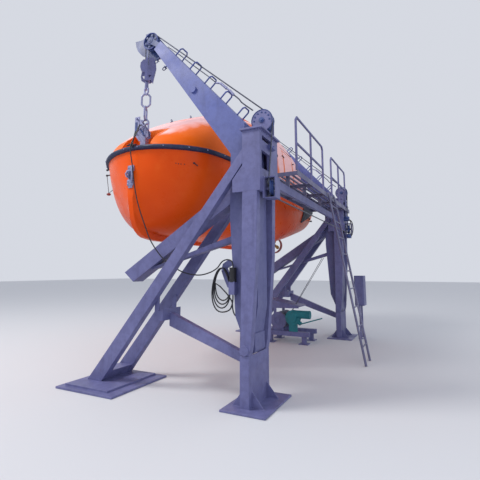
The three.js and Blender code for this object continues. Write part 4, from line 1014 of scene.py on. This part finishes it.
def make_wheel_faces():
    """Rim, hub ring and lightening holes on the bow side of each head sheave. The holes are dark discs,
    which are painted shade.
    """
    rims, holes = bmesh.new(), bmesh.new()
    for x in arm_planes.values():
        middle = Vector((x + 0.044, head_sheave["y"], head_sheave["z"]))
        for radius, thick in ((head_sheave["r"] - 0.008, 0.009), (0.066, 0.008)):
            add_bars(rims, arc(middle, radius, 0, 360, inboard, up, 40), thick, 8)
        # Dark discs stand where the lightening holes are: painted shade.
        for spot in arc(middle, 0.103, 15, 315, inboard, up, 5):
            add_rod(holes, spot - to_bow * 0.006, spot + to_bow * 0.004, 0.021, sides=16)
    piece(rims, "head_wheel_rims", boom_paint)
    piece(holes, "head_wheel_hole_shade", sheave_paint)


def make_head_caps():
    """Rim strip, hub nut and small bolts on the bow cheek of each top sheave."""
    bm = bmesh.new()
    for x in arm_planes.values():
        middle = Vector((x + 0.081, top_sheave["y"], top_sheave["z"]))
        add_bars(bm, arc(middle, 0.156, -20, 200, inboard, up, 28), 0.006, 6)
        cap = middle + to_bow * 0.012
        add_rod(bm, middle, cap, 0.04, sides=24)
        add_bolt(bm, cap, to_bow, 0.02, 0.016)
        for spot in arc(middle, 0.118, 0, 180, inboard, up, 6):
            add_bolt(bm, spot, to_bow, 0.008, 0.008)
    piece(bm, "top_sheave_caps", sheave_paint, body=FRAME)


def make_hook_gear():
    """Release plates, cheeks, crank and cable bow beside each lifting hook."""
    pale, dark = bmesh.new(), bmesh.new()
    cheek = [(-1.085, 4.01), (-1.085, 4.3), (-1.000, 4.3), (-0.8, 4.03), (-0.79, 3.93),
             (-0.98, 3.88)]
    plates = ((pale, 0.03, 0.008, (-1.085, 4.000), (-0.985, 4.325)),
              (dark, 0.04, 0.006, (-1.07, 4.06), (-1.03, 4.23)))
    for middle, sign, lift in ((arm_plane, 1, 0), (-arm_plane, -1, -0.04)):
        def at(out, y, z):
            return middle + sign * out, y, z + lift
        for bm, out, half, low, high in plates:
            x = middle + sign * out
            add_box(bm, (x - half, low[0], low[1] + lift), (x + half, high[0], high[1] + lift))
        for out in (0.026, -0.042):
            outline = [(y, z + lift) for y, z in cheek]
            add_prism(pale, outline, "X", middle + sign * out, middle + sign * (out + 0.008))
        add_rod(pale, at(0.03, -1.03, 4.285), at(0.075, -1.03, 4.285), 0.016, sides=12)
        add_rod(pale, at(0.065, -0.99, 4.06), at(0.065, -0.8, 4.15), 0.013, sides=10)
        add_ball(pale, at(0.065, -0.8, 4.15), 0.024)
        add_rod(dark, at(0.06, -0.86, 3.96), at(0.06, -0.93, 4.07), 0.014, sides=10)
    piece(pale, "hook_release_plates", pale_zinc)
    piece(dark, "hook_release_pads", sheave_paint)


def make_hull_fittings():
    """Vents and a drain eye under the bow's fender, knobs, and the becket with its float to starboard."""
    bm = bmesh.new()
    bow_face = Vector((0.78, 0.6, -0.2)).normalized()
    vents = [(2.794, -0.205, 3.397), (2.77, -0.174, 3.39), (2.746, -0.142, 3.388), (2.713, -0.098, 3.387)]
    for vent in map(Vector, vents):
        add_rod(bm, vent - bow_face * 0.01, vent + bow_face * 0.003, 0.009, sides=12)
    drain = Vector((2.617, 0.019, 3.418))
    add_rod(bm, drain - bow_face * 0.01, drain + bow_face * 0.014, 0.018, 0.014, sides=14)
    add_rod(bm, drain + bow_face * 0.012, drain + Vector((-0.03, 0.055, -0.05)), 0.008, sides=10)
    for z in (3.575, 3.47):
        add_rod(bm, (2.5, -1.93, z), (2.5, -1.998, z), 0.012, sides=10)
        add_ball(bm, (2.5, -2.000, z), 0.021)
    for x, y, z in ((-2.944, 0.3, 3.187), (-3.06, 0.312, 3.13)):
        add_rod(bm, (x, y - 0.05, z), (x, y + 0.02, z), 0.012, sides=10)
        add_ball(bm, (x, y + 0.02, z), 0.026)
    piece(bm, "hull_fittings", dark_rope)
    wires = [straight((2.5, -2.000, 3.47), (2.5, -1.93, 3.125)),
             straight((2.5, -1.93, 3.125), (2.4, -1.79, 3.29))]
    rods("becket_wires", wires, 0.005, dark_rope)
    bm = bmesh.new()
    add_ball(bm, (2.5, -1.93, 3.105), 0.04, (1, 1, 0.62))
    piece(bm, "becket_float", red_primer)


def make_stem_gear():
    """Doubler plates, clamp and bolts of the painter's bracket."""
    bm = bmesh.new()
    face = stem + 0.016
    add_box(bm, in_boat(face - 0.01, -0.06, 0.836), in_boat(face + 0.008, 0.062, 0.936))
    add_box(bm, in_boat(face - 0.01, -0.056, 1.096), in_boat(face + 0.01, 0.066, 1.166))
    add_rod(bm, in_boat(face + 0.02, 0.045, 0.88), in_boat(face + 0.02, 0.045, 1.13), 0.02, sides=14)
    add_rod(bm, in_boat(face + 0.012, -0.075, 1.08), in_boat(face + 0.012, 0.075, 1.08), 0.014, sides=12)
    for y in (-0.042, 0.025):
        for z in (0.86, 0.905, 1.125):
            add_bolt(bm, in_boat(face + 0.006, y, z), to_bow, 0.011, 0.012)
    soften(bm, 0.002)
    piece(bm, "stem_bracket_gear", pale_zinc)


def make_door_gear():
    """Dogs round each side door, a handle on the leaf and a rain strip over it."""
    for body, flip in (("port_leaf", 1), ("starboard_leaf", -1)):
        handle, dogs, strip = bmesh.new(), bmesh.new(), bmesh.new()

        def at(x, y, z):
            return Vector((x, keel.y + flip * y, z))
        add_rod(handle, at(-1.43, 1.175, 4.2), at(-1.43, 1.235, 4.2), 0.018, sides=14)
        add_rod(handle, at(-1.43, 1.225, 4.2), at(-1.31, 1.235, 4.16), 0.012, sides=12)
        piece(handle, f"{body}_handle", dark_rope, body=body)
        for x, reach in ((-1.56, 0.09), (-0.74, -0.09)):
            for y, z in ((1.185, 4.45), (1.215, 4.00)):
                add_rod(dogs, at(x, y - 0.03, z), at(x, y + 0.035, z), 0.014, sides=12)
                add_rod(dogs, at(x, y + 0.028, z), at(x + reach, y + 0.034, z - 0.03), 0.01, sides=10)
        piece(dogs, f"{body}_dogs", dark_rope)
        add_rod(strip, at(-1.56, 1.135, 4.66), at(-0.74, 1.135, 4.66), 0.014, sides=10)
        piece(strip, f"{body}_rain_strip", dark_rope)


def make_frame_fittings():
    """Wire clamp and limit switch on each head box, and the valve block with its pipes on the aft one."""
    pale, dark = bmesh.new(), bmesh.new()
    for x in arm_planes.values():
        outer = x - frame_half
        add_box(pale, (x - 0.09, 1.372, 3.385), (x + 0.06, 1.42, 3.445))
        add_rod(pale, (x - 0.1, 1.425, 3.415), (x + 0.08, 1.425, 3.415), 0.018, sides=14)
        for side_x in (-0.06, 0.03):
            add_bolt(pale, (x + side_x, 1.42, 3.44), inboard, 0.012, 0.018)
        add_rod(dark, (outer, 1.33, 3.42), (outer - 0.055, 1.33, 3.42), 0.026, sides=16)
        add_ball(dark, (outer - 0.06, 1.33, 3.42), 0.034)
        add_box(dark, (outer - 0.02, 1.285, 3.475), (outer, 1.365, 3.56))
    soften(pale, 0.003)
    piece(pale, "wire_clamps", boom_paint, body=FRAME)
    piece(dark, "limit_switches", dark_rope, body=FRAME)
    valve = bmesh.new()
    add_box(valve, (-2.64, 1.368, 3.02), (-2.52, 1.5, 3.13))
    add_box(valve, (-2.64, 1.42, 2.56), (-2.52, 1.53, 2.664))
    for y, z in ((1.475, 2.61), (1.45, 3.045), (1.45, 3.105)):
        add_rod(valve, (-2.69, y, z), (-2.47, y, z), 0.022, sides=12)
    soften(valve, 0.004)
    piece(valve, "valve_block", sheave_paint, body=FRAME)
    pipes = [[(-2.55, 1.49, 3.05), (-2.5, 1.54, 3.00), (-2.48, 1.56, 2.84), (-2.51, 1.54, 2.68),
              (-2.56, 1.52, 2.62)],
             [(-2.61, 1.49, 3.06), (-2.58, 1.56, 2.99), (-2.57, 1.59, 2.82), (-2.59, 1.56, 2.67),
              (-2.61, 1.52, 2.6)]]
    rods("valve_pipes", [run_through(pipe, 5) for pipe in pipes], 0.011, dark_rope, FRAME)


make_bow_lashing()
make_roof_fittings()
make_boom_eyes()
make_wheel_faces()
make_head_caps()
make_hook_gear()
make_hull_fittings()
make_stem_gear()
make_door_gear()
make_frame_fittings()


# Floor and light
floor_colour, sky_colour, sky_strength = (0.64, 0.65, 0.68, 1), (0.84, 0.87, 0.95, 1), 0.8
lit_place = (0.5, -0.3, 3.2)


def make_stage():
    bm = bmesh.new()
    bmesh.ops.create_grid(bm, x_segments=1, y_segments=1, size=60)
    material, tree, shader, place = new_finish("floor")
    feed(tree, shader, {"Base Color": floor_colour, "Roughness": 0.9})
    floor = bm_object(bm, "floor")
    floor.data.materials.append(material)
    floor.location.z = -0.001


def soft_light(name, place, size, power, colour):
    data = bpy.data.lights.new(name, "AREA")
    data.shape = "DISK"
    data.size = size
    data.energy = power
    data.color = colour
    lamp = new_object(name, data)
    lamp.location = place
    lamp.rotation_mode = "QUATERNION"
    lamp.rotation_quaternion = (Vector(lit_place) - Vector(place)).to_track_quat("-Z", "Y")


def make_sky():
    sky = bpy.data.worlds.new("sky")
    sky.use_nodes = True
    background = sky.node_tree.nodes["Background"]
    feed(sky.node_tree, background, {"Color": sky_colour, "Strength": sky_strength})
    scene.world = sky


make_stage()
soft_light("key", (9.0, -7.0, 14.0), 5.0, 1500, (1.0, 0.97, 0.93))
soft_light("fill", (8.0, 9.0, 6.0), 8.0, 200, (0.86, 0.91, 1.0))
make_sky()
scene.view_settings.view_transform = "Standard"
